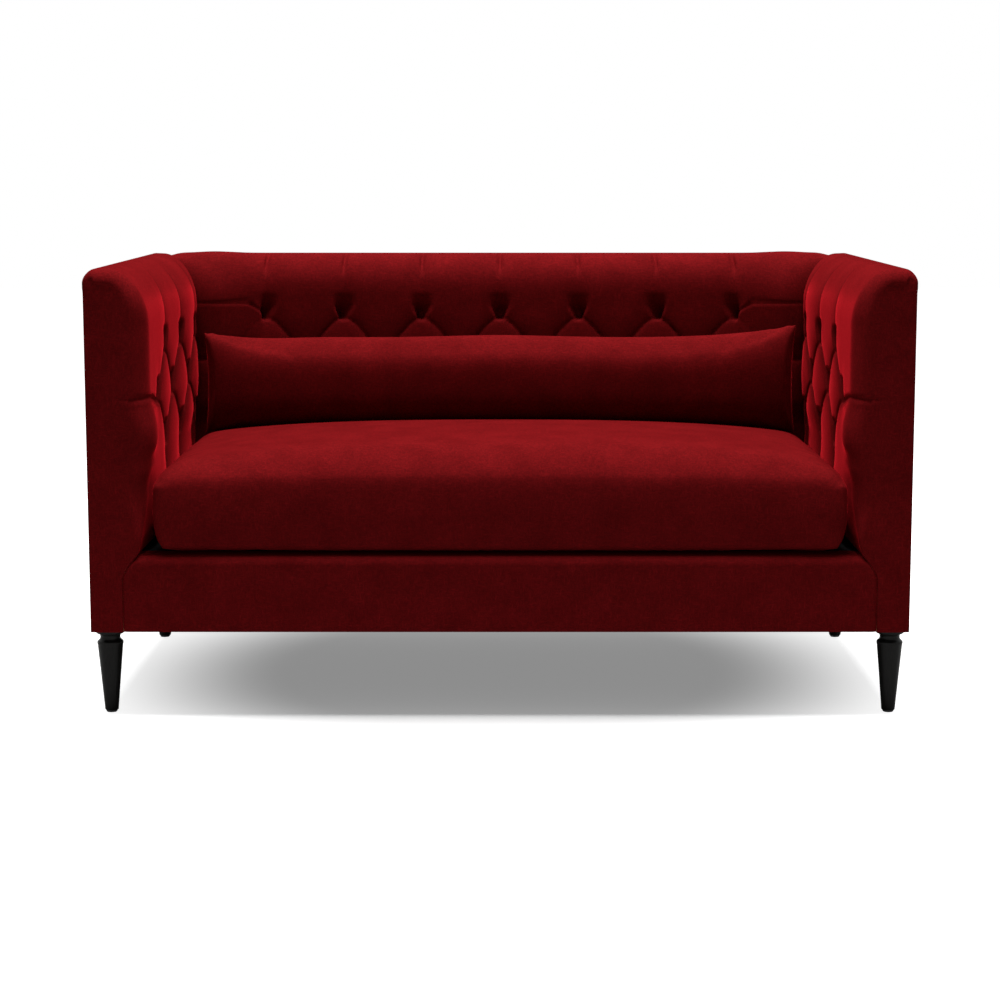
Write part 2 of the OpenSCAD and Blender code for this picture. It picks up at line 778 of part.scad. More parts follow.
// Seam between an arm's front and the front rail: the arm widens over the rail's rounded corner
function seam_t(z) =
    z > deck_z ? wall_t - tuck * exp(-(z - deck_z) / tuck_h)
        : arm_foot_w + (wall_t - tuck - arm_foot_w) * pow(max(0, (z - deck_z + flare_h) / flare_h), 1.5);
seam_levels = [90, 50, 28, 12, 0, -0.3, -0.65, -1];
function seam_z(k) = deck_z + (seam_levels[k] > 0 ? seam_levels[k] : seam_levels[k] * flare_h);

// Front face of an arm, in by "inset" all round except at the floor side. It starts beside the
// flare, where a cap's triangles reach every other point.
function arm_outline(inset) = concat(
    [[inset, deck_z]],
    arc([edge_r, sofa_h - edge_r], edge_r - inset, edge_r - inset, 180, 90, 4),
    arc([top_flat, sofa_h - crest_h], wall_t - top_flat - inset, crest_h - inset, 90, 0, 8),
    [for (k = [0 : len(seam_levels) - 1]) [seam_t(seam_z(k)) - inset, seam_z(k)]],
    [[arm_foot_w - inset, leg_h], [inset, leg_h]]
);
front_rounding = [[0, 9], [0.2, 4.5], [0.5, 1.5], [1, 0]];
module arm_front(right) {
    color(velvet) mirrored(right)
        loft([for (r = front_rounding)
            [for (p = arm_outline(r[1])) [-half_w + p[0], front_y + r[0] * front_t, p[1]]]]);
}

// Padded cover of the front rail, with a rolled top edge and a top that runs back over the rail
module front_rail_cover() {
    corner = [for (k = [4 : len(seam_levels) - 1]) [half_w - seam_t(seam_z(k)) - soft_gap, seam_z(k)]];
    foot_x = half_w - arm_foot_w - soft_gap;
    color(velvet) difference() {
        rotate([90, 0, 90]) translate([0, 0, -foot_x]) linear_extrude(2 * foot_x)
            polygon(concat(
                [[front_y, leg_h]],
                arc([front_y + rail_edge_r, deck_z - rail_edge_r], rail_edge_r, rail_edge_r, 180, 90, 6),
                [
                    [deck_front_y, deck_z], [deck_front_y, felt_z],
                    [wood_front_y + clip_reach, felt_z], [wood_front_y + clip_reach, rail_top_z],
                    [wood_front_y, rail_top_z], [wood_front_y, leg_h]
                ]
            ));
        for (side = [0, 1]) mirror([side, 0, 0])
            translate([0, wood_front_y, 0]) rotate([90, 0, 0]) linear_extrude(front_t + past)
                polygon(concat(corner,
                    [[half_w, deck_z - flare_h], [half_w, deck_z + past], [corner[0][0], deck_z + past]]));
    }
}

// Plain outer covers
module outer_side_cover(right) {
    color(velvet) mirrored(right) translate([-half_w, wood_front_y, leg_h])
        cube([cover_t, rear_y - wood_front_y, board_top_z - leg_h]);
}
module outer_back_cover() {
    cover_x = half_w - cover_t;
    color(velvet) translate([-cover_x, rear_y - cover_t, leg_h])
        cube([2 * cover_x, cover_t, board_top_z - leg_h]);
}

// Legs and their fixings. A turned leg's edges are eased by a step across and an arris along it.
leg_step = 1;
leg_arris = 2;
leg_cove = 4;
neck_straight = [0.3, 0.6];
module leg(place) {
    neck_top = leg_h - leg_collar_h;
    neck_low = neck_top - leg_neck_h;
    taper_top = neck_low - leg_shoulder_h;
    foot_r = leg_foot_d / 2;
    shoulder_r = leg_shoulder_d / 2;
    neck_r = leg_neck_d / 2;
    collar_r = leg_collar_d / 2;
    color(black) translate(place) difference() {
        rotate_extrude()
            polygon([
                [0, glide_t], [foot_r - leg_step, glide_t], [foot_r, glide_t + leg_arris],
                [shoulder_r - leg_step / 2, taper_top - leg_arris], [shoulder_r, taper_top],
                [shoulder_r - leg_step, taper_top + leg_arris], [neck_r + leg_step, neck_low],
                [neck_r, neck_low + leg_neck_h * neck_straight[0]],
                [neck_r, neck_low + leg_neck_h * neck_straight[1]],
                [collar_r - leg_cove, neck_top - leg_step], [collar_r - leg_step, neck_top],
                [collar_r, neck_top + leg_arris], [collar_r, leg_h], [0, leg_h]
            ]);
        translate([0, 0, leg_h - bolt_down]) cylinder(d = bolt_d + 2 * hole_gap, h = bolt_down + past);
        cylinder(d = glide_nail_d + 2 * hole_gap, h = glide_t + glide_nail_h);
    }
}
module hanger_bolts() {
    color(steel) at_legs() translate([0, 0, leg_h - bolt_down + bolt_play])
        cylinder(d = bolt_d, h = bolt_down + bolt_up);
}
module threaded_inserts() {
    color(steel) at_legs() translate([0, 0, leg_h]) difference() {
        union() {
            cylinder(d = insert_flange_d, h = insert_flange_t);
            cylinder(d = insert_d, h = insert_flange_t + insert_h);
        }
        translate([0, 0, -past])
            cylinder(d = bolt_d + 2 * hole_gap, h = insert_flange_t + insert_h + 2 * past);
    }
}
glide_edge = 1.5;
nail_play = 1;
module foot_glides() {
    color("dimgray") at_legs() {
        cylinder(d1 = glide_d - 2 * glide_edge, d2 = glide_d, h = glide_t / 2);
        translate([0, 0, glide_t / 2]) {
            cylinder(d = glide_d, h = glide_t / 2);
            cylinder(d = glide_nail_d, h = glide_t / 2 + glide_nail_h - nail_play);
        }
    }
}

// Seat cushion: nested outlines from the underside, up the drawn-in sides and over the crown
seat_x = half_w - wall_t - seat_side_gap;
seat_front_y = front_y + soft_gap;
seat_rear_y = rear_y - full_t - seat_back_gap;
seat_mid_y = (seat_front_y + seat_rear_y) / 2;
seat_half_d = (seat_rear_y - seat_front_y) / 2;
seat_z = deck_z + soft_gap;
function crown_z(x, y) =
    let (
        px = min(1, abs(x) / seat_x), py = min(1, abs(y - seat_mid_y) / seat_half_d),
        deep = y < seat_mid_y ? pow(1 - pow(py, 6), 0.4) : pow(1 - pow(py, 2.4), 0.75)
    )
        seat_z + seat_edge_h - seat_edge_r / 2
            + (seat_crown + seat_edge_r / 2) * pow(1 - pow(px, 2.6), 0.6) * deep;
// Outline of the cushion in plan, from the middle of its left end: "draw" pulls the sides in
long_steps = 8;
end_steps = 5;
corner_cut = 0.29;
least_r = 1;
function plan_ring(inset, draw) =
    let (
        hx = seat_x - inset, hy = seat_half_d - inset,
        r = max(least_r, min(seat_corner_r, hx - least_r, hy - least_r)),
        cx = hx - r * corner_cut, cy = hy - r * corner_cut,
        long_fs = [for (k = [0 : long_steps]) 2 * k / long_steps - 1],
        end_fs = [for (k = [0 : end_steps]) 2 * k / end_steps - 1],
        pull = function(f) draw * (1 - f * f)
    )
    concat(
        [for (k = [(end_steps - 1) / 2 : -1 : 0]) [-hx + pull(end_fs[k]), end_fs[k] * (hy - r)]],
        [[-cx, -cy]],
        [for (f = long_fs) [f * (hx - r), -hy + pull(f)]],
        [[cx, -cy]],
        [for (f = end_fs) [hx - pull(f), f * (hy - r)]],
        [[cx, cy]],
        [for (f = long_fs) [-f * (hx - r), hy - pull(f)]],
        [[-cx, cy]],
        [for (k = [end_steps : -1 : (end_steps + 1) / 2]) [-hx + pull(end_fs[k]), end_fs[k] * (hy - r)]]
    );
function flat_ring(inset, draw, z) =
    [for (p = plan_ring(inset, draw)) [p[0], p[1] + seat_mid_y, z]];
function crown_ring(inset) =
    [for (p = plan_ring(inset, -cap_draw)) [p[0], p[1] + seat_mid_y, crown_z(p[0], p[1] + seat_mid_y)]];
// Rings that a cap closes bulge out a little, so no three points of the cap stand in line
cap_draw = 2;
seat_side_profile = [
    [seat_foot_r + seat_sole, -cap_draw, 0],
    [seat_foot_r, 0, 1],
    [seat_foot_r * 0.3, seat_draw / 2, seat_foot_r * 0.7],
    [1, seat_draw, seat_foot_r * 2],
    [0, seat_draw, seat_edge_h / 2],
    [seat_edge_r * 0.1, seat_draw, seat_edge_h - seat_edge_r * 1.1],
    [seat_edge_r * 0.35, seat_draw / 2, seat_edge_h - seat_edge_r * 0.5]
];
seat_top_insets = concat(
    [seat_edge_r, seat_edge_r * 2.2],
    [for (f = [0.36, 0.58, 0.8, 0.97]) f * seat_half_d]
);
module seat_shape() {
    loft(concat(
        [for (p = seat_side_profile) flat_ring(p[0], p[1], seat_z + p[2])],
        [for (inset = seat_top_insets) crown_ring(inset)]
    ), strips = true);
}
zip_z = seat_z + seat_edge_h / 2;
zip_recess = 1;
zip_floor_y = seat_rear_y - seat_draw - zip_t - teeth_t - slider_wall - slider_gap - zip_recess;
module seat_cushion_cover() {
    color(velvet) difference() {
        seat_shape();
        foam_block(soft_gap);
        translate([-zip_l / 2 - soft_gap, zip_floor_y, zip_z - zip_w / 2 - soft_gap])
            cube([zip_l + 2 * soft_gap, 2 * seat_wrap, zip_w + 2 * soft_gap]);
    }
}
module foam_block(extra) {
    inset = seat_wrap - extra;
    low = [-seat_x + inset, seat_front_y + inset, seat_z + seat_wrap / 2 - extra];
    high = [seat_x - inset, seat_rear_y - inset, seat_z + seat_edge_h - seat_wrap / 2 + extra];
    translate(low) cube(high - low);
}
module seat_foam() {
    color("khaki") foam_block(0);
}
module seat_zip() {
    color(black) translate([-zip_l / 2, zip_floor_y, zip_z]) {
        translate([0, 0, -zip_w / 2]) cube([zip_l, zip_t, zip_w]);
        translate([0, 0, -teeth_w / 2]) cube([zip_l, zip_t + teeth_t, teeth_w]);
    }
}
// The slider straddles the teeth at the closed end of the zip
zip_stop = 6;
slider_x = -zip_l / 2 + slider_l / 2 + zip_stop;
module zip_slider() {
    teeth_top = zip_t + teeth_t + slider_gap;
    color(steel) translate([slider_x - slider_l / 2, zip_floor_y, zip_z]) difference() {
        translate([0, zip_t + slider_gap, -slider_w / 2])
            cube([slider_l, teeth_top + slider_wall - zip_t - slider_gap, slider_w]);
        translate([-past, 0, -teeth_w / 2 - slider_gap])
            cube([slider_l + 2 * past, teeth_top, teeth_w + 2 * slider_gap]);
    }
}

// Lumbar pillow: two curved panels sewn edge to edge, with pointed corners that rise like ears
pillow_back_y = rear_y - full_t - soft_gap;
pillow_y = pillow_back_y - pillow_t / 2 - soft_gap;
pillow_half_w = half_w - full_t - pillow_side_gap;
ear_reach = 6;
function pillow_low(x) = crown_z(x, pillow_y) + 2 * soft_gap;
function pillow_high(f) =
    pillow_low(0) + pillow_h + (f < 0 ? left_ear : right_ear) * pow(abs(f), ear_reach)
        + pillow_wave * cos(360 * f) * (1 - abs(f));
function plump(f, v) =
    pow(max(0, 1 - pow(abs(f), 4)), 0.5) * pow(max(0, 1 - pow(abs(2 * v - 1), 2.2)), 0.6);
function pillow_ring(f, wrap, steps) =
    let (
        x = f * (pillow_half_w - wrap),
        low = pillow_low(x) + wrap, high = pillow_high(f) - wrap,
        half_t = function(v)
            max(pillow_seam / 4 * (1 + sin(180 * v)), (pillow_t / 2 - wrap) * plump(f, v)),
        side = function(v, way) [x, pillow_y + way * half_t(v), low + (high - low) * v]
    )
    concat(
        [for (k = [0 : steps]) side(k / steps, -1)],
        [for (k = [steps : -1 : 0]) side(k / steps, 1)]
    );
module pillow_shape(wrap, columns, steps) {
    loft([for (k = [columns : -1 : -columns])
        let (f = sin(90 * k / columns)) pillow_ring(f, wrap, steps)], strips = true);
}
insert_columns = 5;
insert_steps = 5;
module pillow_cover() {
    color(velvet) difference() {
        pillow_shape(0, 11, 9);
        pillow_shape(pillow_wrap, insert_columns, insert_steps);
    }
}
module pillow_insert() {
    color("white") pillow_shape(pillow_wrap + soft_gap, insert_columns, insert_steps);
}

front_seat_rail();
rear_seat_rail();
side_rail(false);  // left_side_rail
side_rail(true);  // right_side_rail
centre_stretchers();
corner_blocks();
front_post(false);  // left_front_post
front_post(true);  // right_front_post
rear_posts();
arm_top_rail(false);  // left_arm_top_rail
arm_top_rail(true);  // right_arm_top_rail
back_top_rail();
back_uprights();
arm_tack_rails();
arm_tufting_board(false);  // left_tufting_board
arm_tufting_board(true);  // right_tufting_board
back_tufting_board();
frame_dowels();
corner_screws();
side_stiffener(false);  // left_stiffener
side_stiffener(true);  // right_stiffener
back_stiffener();
zigzag_springs();
spring_clips();
tie_wires();
deck_felt();
deck_cloth();
dust_cover();
arm_pad(false);  // left_arm_pad
arm_pad(true);  // right_arm_pad
back_pad();
arm_front(false);  // left_arm_front
arm_front(true);  // right_arm_front
front_rail_cover();
outer_side_cover(false);  // left_outer_cover
outer_side_cover(true);  // right_outer_cover
outer_back_cover();
color(velvet) at_arm_buttons() button();  // left_arm_buttons
color(velvet) mirrored(true) at_arm_buttons() button();  // right_arm_buttons
color(velvet) at_back_buttons() button();  // back_buttons
color("white") at_arm_buttons() twine();  // left_arm_twines
color("white") mirrored(true) at_arm_buttons() twine();  // right_arm_twines
color("white") at_back_buttons() twine();  // back_twines
leg(leg_places[0]);  // front_left_leg
leg(leg_places[2]);  // front_right_leg
leg(leg_places[1]);  // rear_left_leg
leg(leg_places[3]);  // rear_right_leg
hanger_bolts();
threaded_inserts();
foot_glides();
seat_cushion_cover();
seat_foam();
seat_zip();
zip_slider();
pillow_cover();
pillow_insert();
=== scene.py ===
# %% [markdown]
# A two-seat sofa in deep red velvet, with button-tufted arms and back, on turned black legs.
# The construction is loaded first and never moved. Every soft piece is then modelled as the
# upholsterer makes it, and takes the place of the plain solid that stood for it.

# %% Load the construction
import math
import bpy
import numpy as np
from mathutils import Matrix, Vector


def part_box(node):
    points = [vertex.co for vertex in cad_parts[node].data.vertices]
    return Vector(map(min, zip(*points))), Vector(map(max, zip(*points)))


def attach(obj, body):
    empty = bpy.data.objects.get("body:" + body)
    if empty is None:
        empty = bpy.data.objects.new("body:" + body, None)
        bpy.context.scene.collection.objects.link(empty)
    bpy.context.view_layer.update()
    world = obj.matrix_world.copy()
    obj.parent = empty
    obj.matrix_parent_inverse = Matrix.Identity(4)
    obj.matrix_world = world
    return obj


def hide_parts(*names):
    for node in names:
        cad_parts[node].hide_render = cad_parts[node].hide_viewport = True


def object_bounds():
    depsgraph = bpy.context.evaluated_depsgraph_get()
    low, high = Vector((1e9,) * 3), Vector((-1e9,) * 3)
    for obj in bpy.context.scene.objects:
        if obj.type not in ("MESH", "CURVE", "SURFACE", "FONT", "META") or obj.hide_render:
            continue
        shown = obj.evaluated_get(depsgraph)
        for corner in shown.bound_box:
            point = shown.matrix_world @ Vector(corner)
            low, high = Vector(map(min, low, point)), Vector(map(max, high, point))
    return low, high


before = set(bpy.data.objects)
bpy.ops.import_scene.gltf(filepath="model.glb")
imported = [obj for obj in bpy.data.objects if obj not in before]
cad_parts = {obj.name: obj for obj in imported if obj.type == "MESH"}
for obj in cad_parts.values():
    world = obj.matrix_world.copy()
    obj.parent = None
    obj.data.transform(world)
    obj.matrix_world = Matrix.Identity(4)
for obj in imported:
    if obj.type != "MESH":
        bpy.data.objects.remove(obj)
cad_low, cad_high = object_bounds()
mm = 0.001
print("construction, metres:", [round(c, 3) for c in (*cad_low, *cad_high)])

# %% [markdown]
# ## Sizes
# An upholsterer works from the frame outwards, so the sizes come from the construction: how wide,
# deep and high the shell is, where the deck lies, and where the wood ends under the padding.
# Only what the plain solids cannot tell, such as the pattern of the buttons, is written here.

# %% The shell's sizes
half_w = cad_high.x
front_y = cad_low.y
rear_y = cad_high.y
top_z = cad_high.z
frame_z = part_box("front_seat_rail")[0].z
deck_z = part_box("deck_cloth")[1].z
board_top_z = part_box("left_outer_cover")[1].z
wood_front_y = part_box("left_outer_cover")[0].y
depth = rear_y - front_y
front_pad = wood_front_y - front_y
wall = 113 * mm
bulge = 8 * mm
top_flat = 42 * mm
crest_h = 100 * mm
edge_r = 22 * mm
tuck = 25 * mm
tuck_h = 22 * mm
arm_foot = 62 * mm
flare_h = 45 * mm
cushion_top_z = deck_z + 165 * mm
print("shell, mm:", round(2 * half_w / mm), "x", round(depth / mm), "x", round(top_z / mm))

# %% [markdown]
# ## Small helpers
# The operators of Blender act on whatever is selected, so each step starts from a clean
# selection. A finished piece keeps its object at the origin, with its place in its mesh.

# %% Selection, naming and finishing
def only(*objects):
    if bpy.context.object and bpy.context.object.mode != "OBJECT":
        bpy.ops.object.mode_set(mode="OBJECT")
    bpy.ops.object.select_all(action="DESELECT")
    for o in objects:
        o.select_set(True)
    bpy.context.view_layer.objects.active = objects[0] if objects else None


def started(name):
    piece = bpy.context.object
    piece.name = name
    piece.data.name = name
    return piece


def edit(piece, choose="NONE"):
    only(piece)
    bpy.ops.object.mode_set(mode="EDIT")
    bpy.ops.mesh.select_all(action="SELECT" if choose == "ALL" else "DESELECT")


def pick_faces(piece, test):
    bpy.ops.object.mode_set(mode="OBJECT")
    for f in piece.data.polygons:
        f.select = test(f)
    bpy.ops.object.mode_set(mode="EDIT")
    bpy.ops.mesh.select_mode(type="FACE")


def settle(piece):
    only(piece)
    bpy.ops.object.transform_apply(location=True, rotation=True, scale=True)


def modify(piece, kind, **settings):
    only(piece)
    modifier = piece.modifiers.new(kind.title(), kind)
    for key, value in settings.items():
        setattr(modifier, key, value)
    bpy.ops.object.modifier_apply(modifier=modifier.name)


def points_of(piece):
    flat = np.empty(3 * len(piece.data.vertices))
    piece.data.vertices.foreach_get("co", flat)
    return flat.reshape(-1, 3)


def move_points(piece, points):
    piece.data.vertices.foreach_set("co", np.ascontiguousarray(points, dtype=float).ravel())
    piece.data.update()


def finish(piece, body, material, nodes=(), angle=math.pi):
    settle(piece)
    bpy.ops.object.shade_smooth_by_angle(angle=angle)
    piece.data.materials.clear()
    piece.data.materials.append(material)
    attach(piece, body)
    if nodes:
        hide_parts(*nodes)
    print(piece.name, len(piece.data.polygons), "faces")


# %% [markdown]
# ## Materials
# Each finish is built from nodes on Object coordinates, so its scale is a real length. Colours are
# read off as sRGB hex values, and one function turns them into the linear values of the shader.

# %% Colours and nodes
def linear(hex_value):
    channels = [int(hex_value[k:k + 2], 16) / 255 for k in (0, 2, 4)]
    return [c / 12.92 if c <= 0.04045 else ((c + 0.055) / 1.055) ** 2.4 for c in channels] + [1.0]


def new_material(name):
    material = bpy.data.materials.new(name)
    material.use_nodes = True
    tree = material.node_tree
    return material, tree, tree.nodes["Principled BSDF"]


def set_values(node, **values):
    for key, value in values.items():
        if hasattr(node, key):
            setattr(node, key, value)
        else:
            node.inputs[key.replace("_", " ")].default_value = value


def add(tree, kind, sources=None, **values):
    node = tree.nodes.new("ShaderNode" + kind)
    set_values(node, **values)
    for key, source in (sources or {}).items():
        if isinstance(source, float):
            node.inputs[key].default_value = source
        else:
            tree.links.new(source, node.inputs[key])
    return node


def ramp(tree, source, stops):
    node = add(tree, "ValToRGB", {"Fac": source})
    for k, (place, colour) in enumerate(stops):
        stop = node.color_ramp.elements[k] if k < 2 else node.color_ramp.elements.new(place)
        stop.position = place
        stop.color = linear(colour)
    return node.outputs["Color"]


def noise(tree, size, detail, **values):
    where = add(tree, "TexCoord").outputs["Object"]
    if isinstance(size, (list, tuple)):
        scale = [1 / s for s in size]
        where = add(tree, "Mapping", {"Vector": where}, Scale=scale).outputs["Vector"]
        size = 1.0
    made = add(tree, "TexNoise", {"Vector": where}, Scale=1 / size, Detail=detail, **values)
    return made.outputs["Fac"]


def surfaced(parts, colour, height, strength, distance, **values):
    material, tree, shader = parts
    bump = add(tree, "Bump", {"Height": height}, Strength=strength, Distance=distance)
    tree.links.new(bump.outputs["Normal"], shader.inputs["Normal"])
    tree.links.new(colour, shader.inputs["Base Color"])
    set_values(shader, **values)
    return material


# %% [markdown]
# ### Velvet
# Velvet is a woven cloth with a short cut pile that stands up. Seen end on, the pile swallows
# light and looks deep, and seen from the side its fibres catch the light, so rolled edges and flat
# seats glow. That is the sheen layer of the shader. The pile also lies unevenly, which gives a
# mottle of short slubs along both directions of the weave, here about 10 mm long.

# %% The red velvet
def make_velvet():
    parts = new_material("red_velvet")
    tree = parts[1]
    slub_length, slub_width, patch = 10 * mm, 3 * mm, 60 * mm
    woven = None
    for axis in range(3):
        size = [slub_width] * 3
        size[axis] = slub_length
        slubs = noise(tree, size, 2.0, Roughness=0.55)
        woven = slubs if woven is None else add(
            tree, "Math", {0: woven, 1: slubs}, operation="MAXIMUM").outputs[0]
    patches = noise(tree, patch, 3.0)
    height = add(tree, "Math", {0: patches, 1: woven}, operation="MULTIPLY").outputs[0]
    colour = ramp(tree, woven, [(0.46, "4b0a0c"), (0.62, "580c0e"), (0.8, "660f12")])
    shade = ramp(tree, patches, [(0.3, "e6e6e6"), (0.7, "ffffff")])
    tone = add(tree, "Mix", {"A": colour, "B": shade}, data_type="RGBA", blend_type="MULTIPLY",
               Factor=1.0)
    return surfaced(parts, tone.outputs["Result"], height, 0.35, 0.6 * mm, Roughness=0.9,
                    Specular_IOR_Level=0.0, Sheen_Weight=0.36, Sheen_Roughness=0.25,
                    Sheen_Tint=linear("ff2733"))


velvet = make_velvet()
print("made", velvet.name)

# %% [markdown]
# ### Other finishes
# The legs are beech, turned and sprayed with black lacquer, so they keep a soft gloss and a faint
# grain. What the covers hide is finished as well: beech rails, spruce plywood, blackened spring
# steel, needled felt, and black woven cloth under the seat. The cloth shows where the cushion
# slides out.

# %% Wood, lacquer, metal and plastic
def make_lacquer():
    parts = new_material("black_lacquer_on_beech")
    tree = parts[1]
    grain_width = 1.2 * mm
    grain = noise(tree, (grain_width, grain_width, grain_width / 0.04), 3.0)
    colour = ramp(tree, grain, [(0.3, "0b0b0a"), (0.7, "151412")])
    return surfaced(parts, colour, grain, 0.08, 0.1 * mm, Roughness=0.35,
                    Specular_IOR_Level=0.09, Coat_Weight=0.04, Coat_Roughness=0.2)


def make_wood(name, dark, pale, ring, grain_width):
    parts = new_material(name)
    tree = parts[1]
    grain = noise(tree, (grain_width / 0.06, grain_width, grain_width), 5.0)
    both = add(tree, "Math", {0: grain, 1: noise(tree, ring, 2.0)}, operation="ADD").outputs[0]
    half = add(tree, "Math", {0: both, 1: 0.5}, operation="MULTIPLY").outputs[0]
    colour = ramp(tree, half, [(0.35, dark), (0.65, pale)])
    return surfaced(parts, colour, grain, 0.2, 0.2 * mm, Roughness=0.55)


def make_speckled(name, dark, pale, spot, roughness, metallic=0.0, bump_height=0.05 * mm,
                  specular=0.5):
    parts = new_material(name)
    spots = noise(parts[1], spot, 4.0)
    colour = ramp(parts[1], spots, [(0.35, dark), (0.65, pale)])
    return surfaced(parts, colour, spots, 0.4, bump_height, Roughness=roughness,
                    Metallic=metallic, Specular_IOR_Level=specular)


lacquer = make_lacquer()
beech = make_wood("kiln_dried_beech", "a9784c", "c79a68", 45 * mm, 2 * mm)
plywood = make_wood("spruce_plywood", "b89468", "d8bb8a", 80 * mm, 3 * mm)
steel = make_speckled("blackened_spring_steel", "2a2b2d", "3c3d40", 3 * mm, 0.4, 0.9)
zinc = make_speckled("zinc_plated_steel", "9a9da0", "b4b6b8", 2 * mm, 0.35, 1.0)
nickel = make_speckled("nickel_plated_zinc", "8f8a80", "a8a297", 1 * mm, 0.3, 1.0)
felt = make_speckled("needled_felt", "5d5a57", "8b8782", 2.5 * mm, 0.95, 0.0, 0.6 * mm)
black_cloth = make_speckled("black_woven_cloth", "0c0c0d", "1a1a1c", 1 * mm, 0.9, 0.0, 0.2 * mm,
                            specular=0.1)
tape = make_speckled("woven_polyester_tape", "1a090b", "2a0f12", 0.8 * mm, 0.85, 0.0, 0.2 * mm)
nylon = make_speckled("moulded_nylon", "2c2c2c", "363636", 1.5 * mm, 0.5)
twine = make_speckled("waxed_linen_twine", "b7a684", "d6c8a6", 1.2 * mm, 0.8, 0.0, 0.3 * mm)
foam = make_speckled("cut_polyurethane_foam", "c9ba7c", "dccf96", 2 * mm, 0.95, 0.0, 0.5 * mm)
fibre = make_speckled("polyester_fibre", "d8d6d0", "f0eee8", 6 * mm, 0.98, 0.0, 1.5 * mm)
print("made", len(bpy.data.materials), "materials")

# %% [markdown]
# ### Which finish each solid keeps
# The joinery and the hardware are already the right shape, so they keep their own meshes and only
# take a finish. A solid that a soft piece replaces is hidden, and is left out here.

# %% Finish the carried-over solids
finishes = {
    beech: ["front_seat_rail", "rear_seat_rail", "left_side_rail", "right_side_rail",
            "centre_stretchers", "corner_blocks", "left_front_post", "right_front_post",
            "rear_posts", "left_arm_top_rail", "right_arm_top_rail", "back_top_rail",
            "back_uprights", "arm_tack_rails", "frame_dowels"],
    plywood: ["left_tufting_board", "right_tufting_board", "back_tufting_board",
              "left_stiffener", "right_stiffener", "back_stiffener"],
    steel: ["zigzag_springs", "spring_clips", "tie_wires"],
    zinc: ["corner_screws", "hanger_bolts", "threaded_inserts"],
    nickel: ["zip_slider"],
    felt: ["deck_felt"],
    tape: ["seat_zip"],
    nylon: ["foot_glides"],
    twine: ["left_arm_twines", "right_arm_twines", "back_twines"],
}
for material, names in finishes.items():
    for name in names:
        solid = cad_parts[name]
        solid.data.materials.clear()
        solid.data.materials.append(material)
print("finished", sum(len(names) for names in finishes.values()), "solids")

# %% [markdown]
# ## Camera
# The picture was taken from a little above seat height, about 4.3 m in front of the sofa, with a
# long lens that looks slightly down. The lens and place below put the outline of the construction
# on the outline in the photograph.

# %% The camera
camera_distance, camera_h = 4.319, 1.021
camera_tilt = 0.14077
bpy.ops.object.camera_add(location=(0, front_y - camera_distance, camera_h),
                          rotation=(math.pi / 2 - camera_tilt, 0, 0))
camera = bpy.context.object
camera.name = "studio_camera"
camera.data.sensor_width = 36
camera.data.lens = 85.17
bpy.context.scene.camera = camera
print("camera at", [round(c, 3) for c in camera.location])

# %% [markdown]
# ## Floor and light
# The studio is white all round, so the camera sees white wherever it looks past the sofa. The soft
# shadow under the sofa is cast by the lamps, and a painted glow that the camera alone sees, weak
# near the sofa and full white away from it, paints how far the shadow reaches. One large softbox
# hangs high overhead, and the sky is bright above and dim at eye level: tops of arms and the seat
# catch them, and the upright faces stay deep.

# %% The floor
# Reach of the painted glow on the floor, and its least strength under the sofa, seen by the camera
# only.
shadow_stretch = (1.45, 1.3, 1)
shadow_start, shadow_end = 0.62, 1.35
painted_glow_in_shadow = 0.26


def make_floor():
    material, tree, shader = new_material("pale_studio_floor")
    set_values(shader, Base_Color=linear("a6a6a6"), Roughness=0.9, Specular_IOR_Level=0.0,
               Emission_Color=linear("ffffff"))
    seen = add(tree, "LightPath").outputs["Is Camera Ray"]
    place = add(tree, "Mapping", {"Vector": add(tree, "TexCoord").outputs["Object"]},
                Scale=shadow_stretch).outputs["Vector"]
    away = add(tree, "VectorMath", {0: place}, operation="LENGTH").outputs["Value"]
    # Painted light: camera rays see the floor glow, weakest near the sofa and full white away from
    # it, which paints the edge of the shadow.
    painted_glow = add(tree, "MapRange", {"Value": away}, interpolation_type="SMOOTHSTEP",
                 From_Min=shadow_start, From_Max=shadow_end, To_Min=painted_glow_in_shadow, To_Max=1.0)
    lift = add(tree, "Math", {0: seen, 1: painted_glow.outputs["Result"]}, operation="MULTIPLY")
    tree.links.new(lift.outputs[0], shader.inputs["Emission Strength"])
    return material


bpy.ops.mesh.primitive_plane_add(size=30, location=(0, 0, 0))
floor = started("studio_floor")
floor.data.materials.append(make_floor())

# %% The sky and the lamps
def make_sky(overhead, level, below):
    world = bpy.data.worlds.new("white_studio")
    world.use_nodes = True
    bpy.context.scene.world = world
    tree = world.node_tree
    back = tree.nodes["Background"]
    up = add(tree, "SeparateXYZ", {0: add(tree, "TexCoord").outputs["Generated"]}).outputs["Z"]
    rise = add(tree, "MapRange", {"Value": up}, From_Min=0.0, From_Max=1.0, To_Min=level,
               To_Max=overhead).outputs["Result"]
    under = add(tree, "Math", {0: up, 1: 0.0}, operation="LESS_THAN").outputs[0]
    lit = add(tree, "Mix", {"Factor": under, "A": rise}, data_type="FLOAT", B=below)
    path = add(tree, "LightPath")
    seen = path.outputs["Is Camera Ray"]
    for ray in ("Is Glossy Ray", "Is Transmission Ray"):
        seen = add(tree, "Math", {0: seen, 1: path.outputs[ray]}, operation="MAXIMUM").outputs[0]
    white = add(tree, "Mix", {"Factor": seen, "A": lit.outputs["Result"]}, data_type="FLOAT",
                B=1.0)
    tree.links.new(white.outputs["Result"], back.inputs["Strength"])
    back.inputs["Color"].default_value = linear("ffffff")


def add_lamp(name, place, aim, size, power):
    bpy.ops.object.light_add(type="AREA", location=place)
    lamp = bpy.context.object
    lamp.name = name
    lamp.rotation_euler = (Vector(aim) - Vector(place)).to_track_quat("-Z", "Y").to_euler()
    lamp.data.shape = "RECTANGLE"
    lamp.data.size, lamp.data.size_y = size
    lamp.data.energy = power


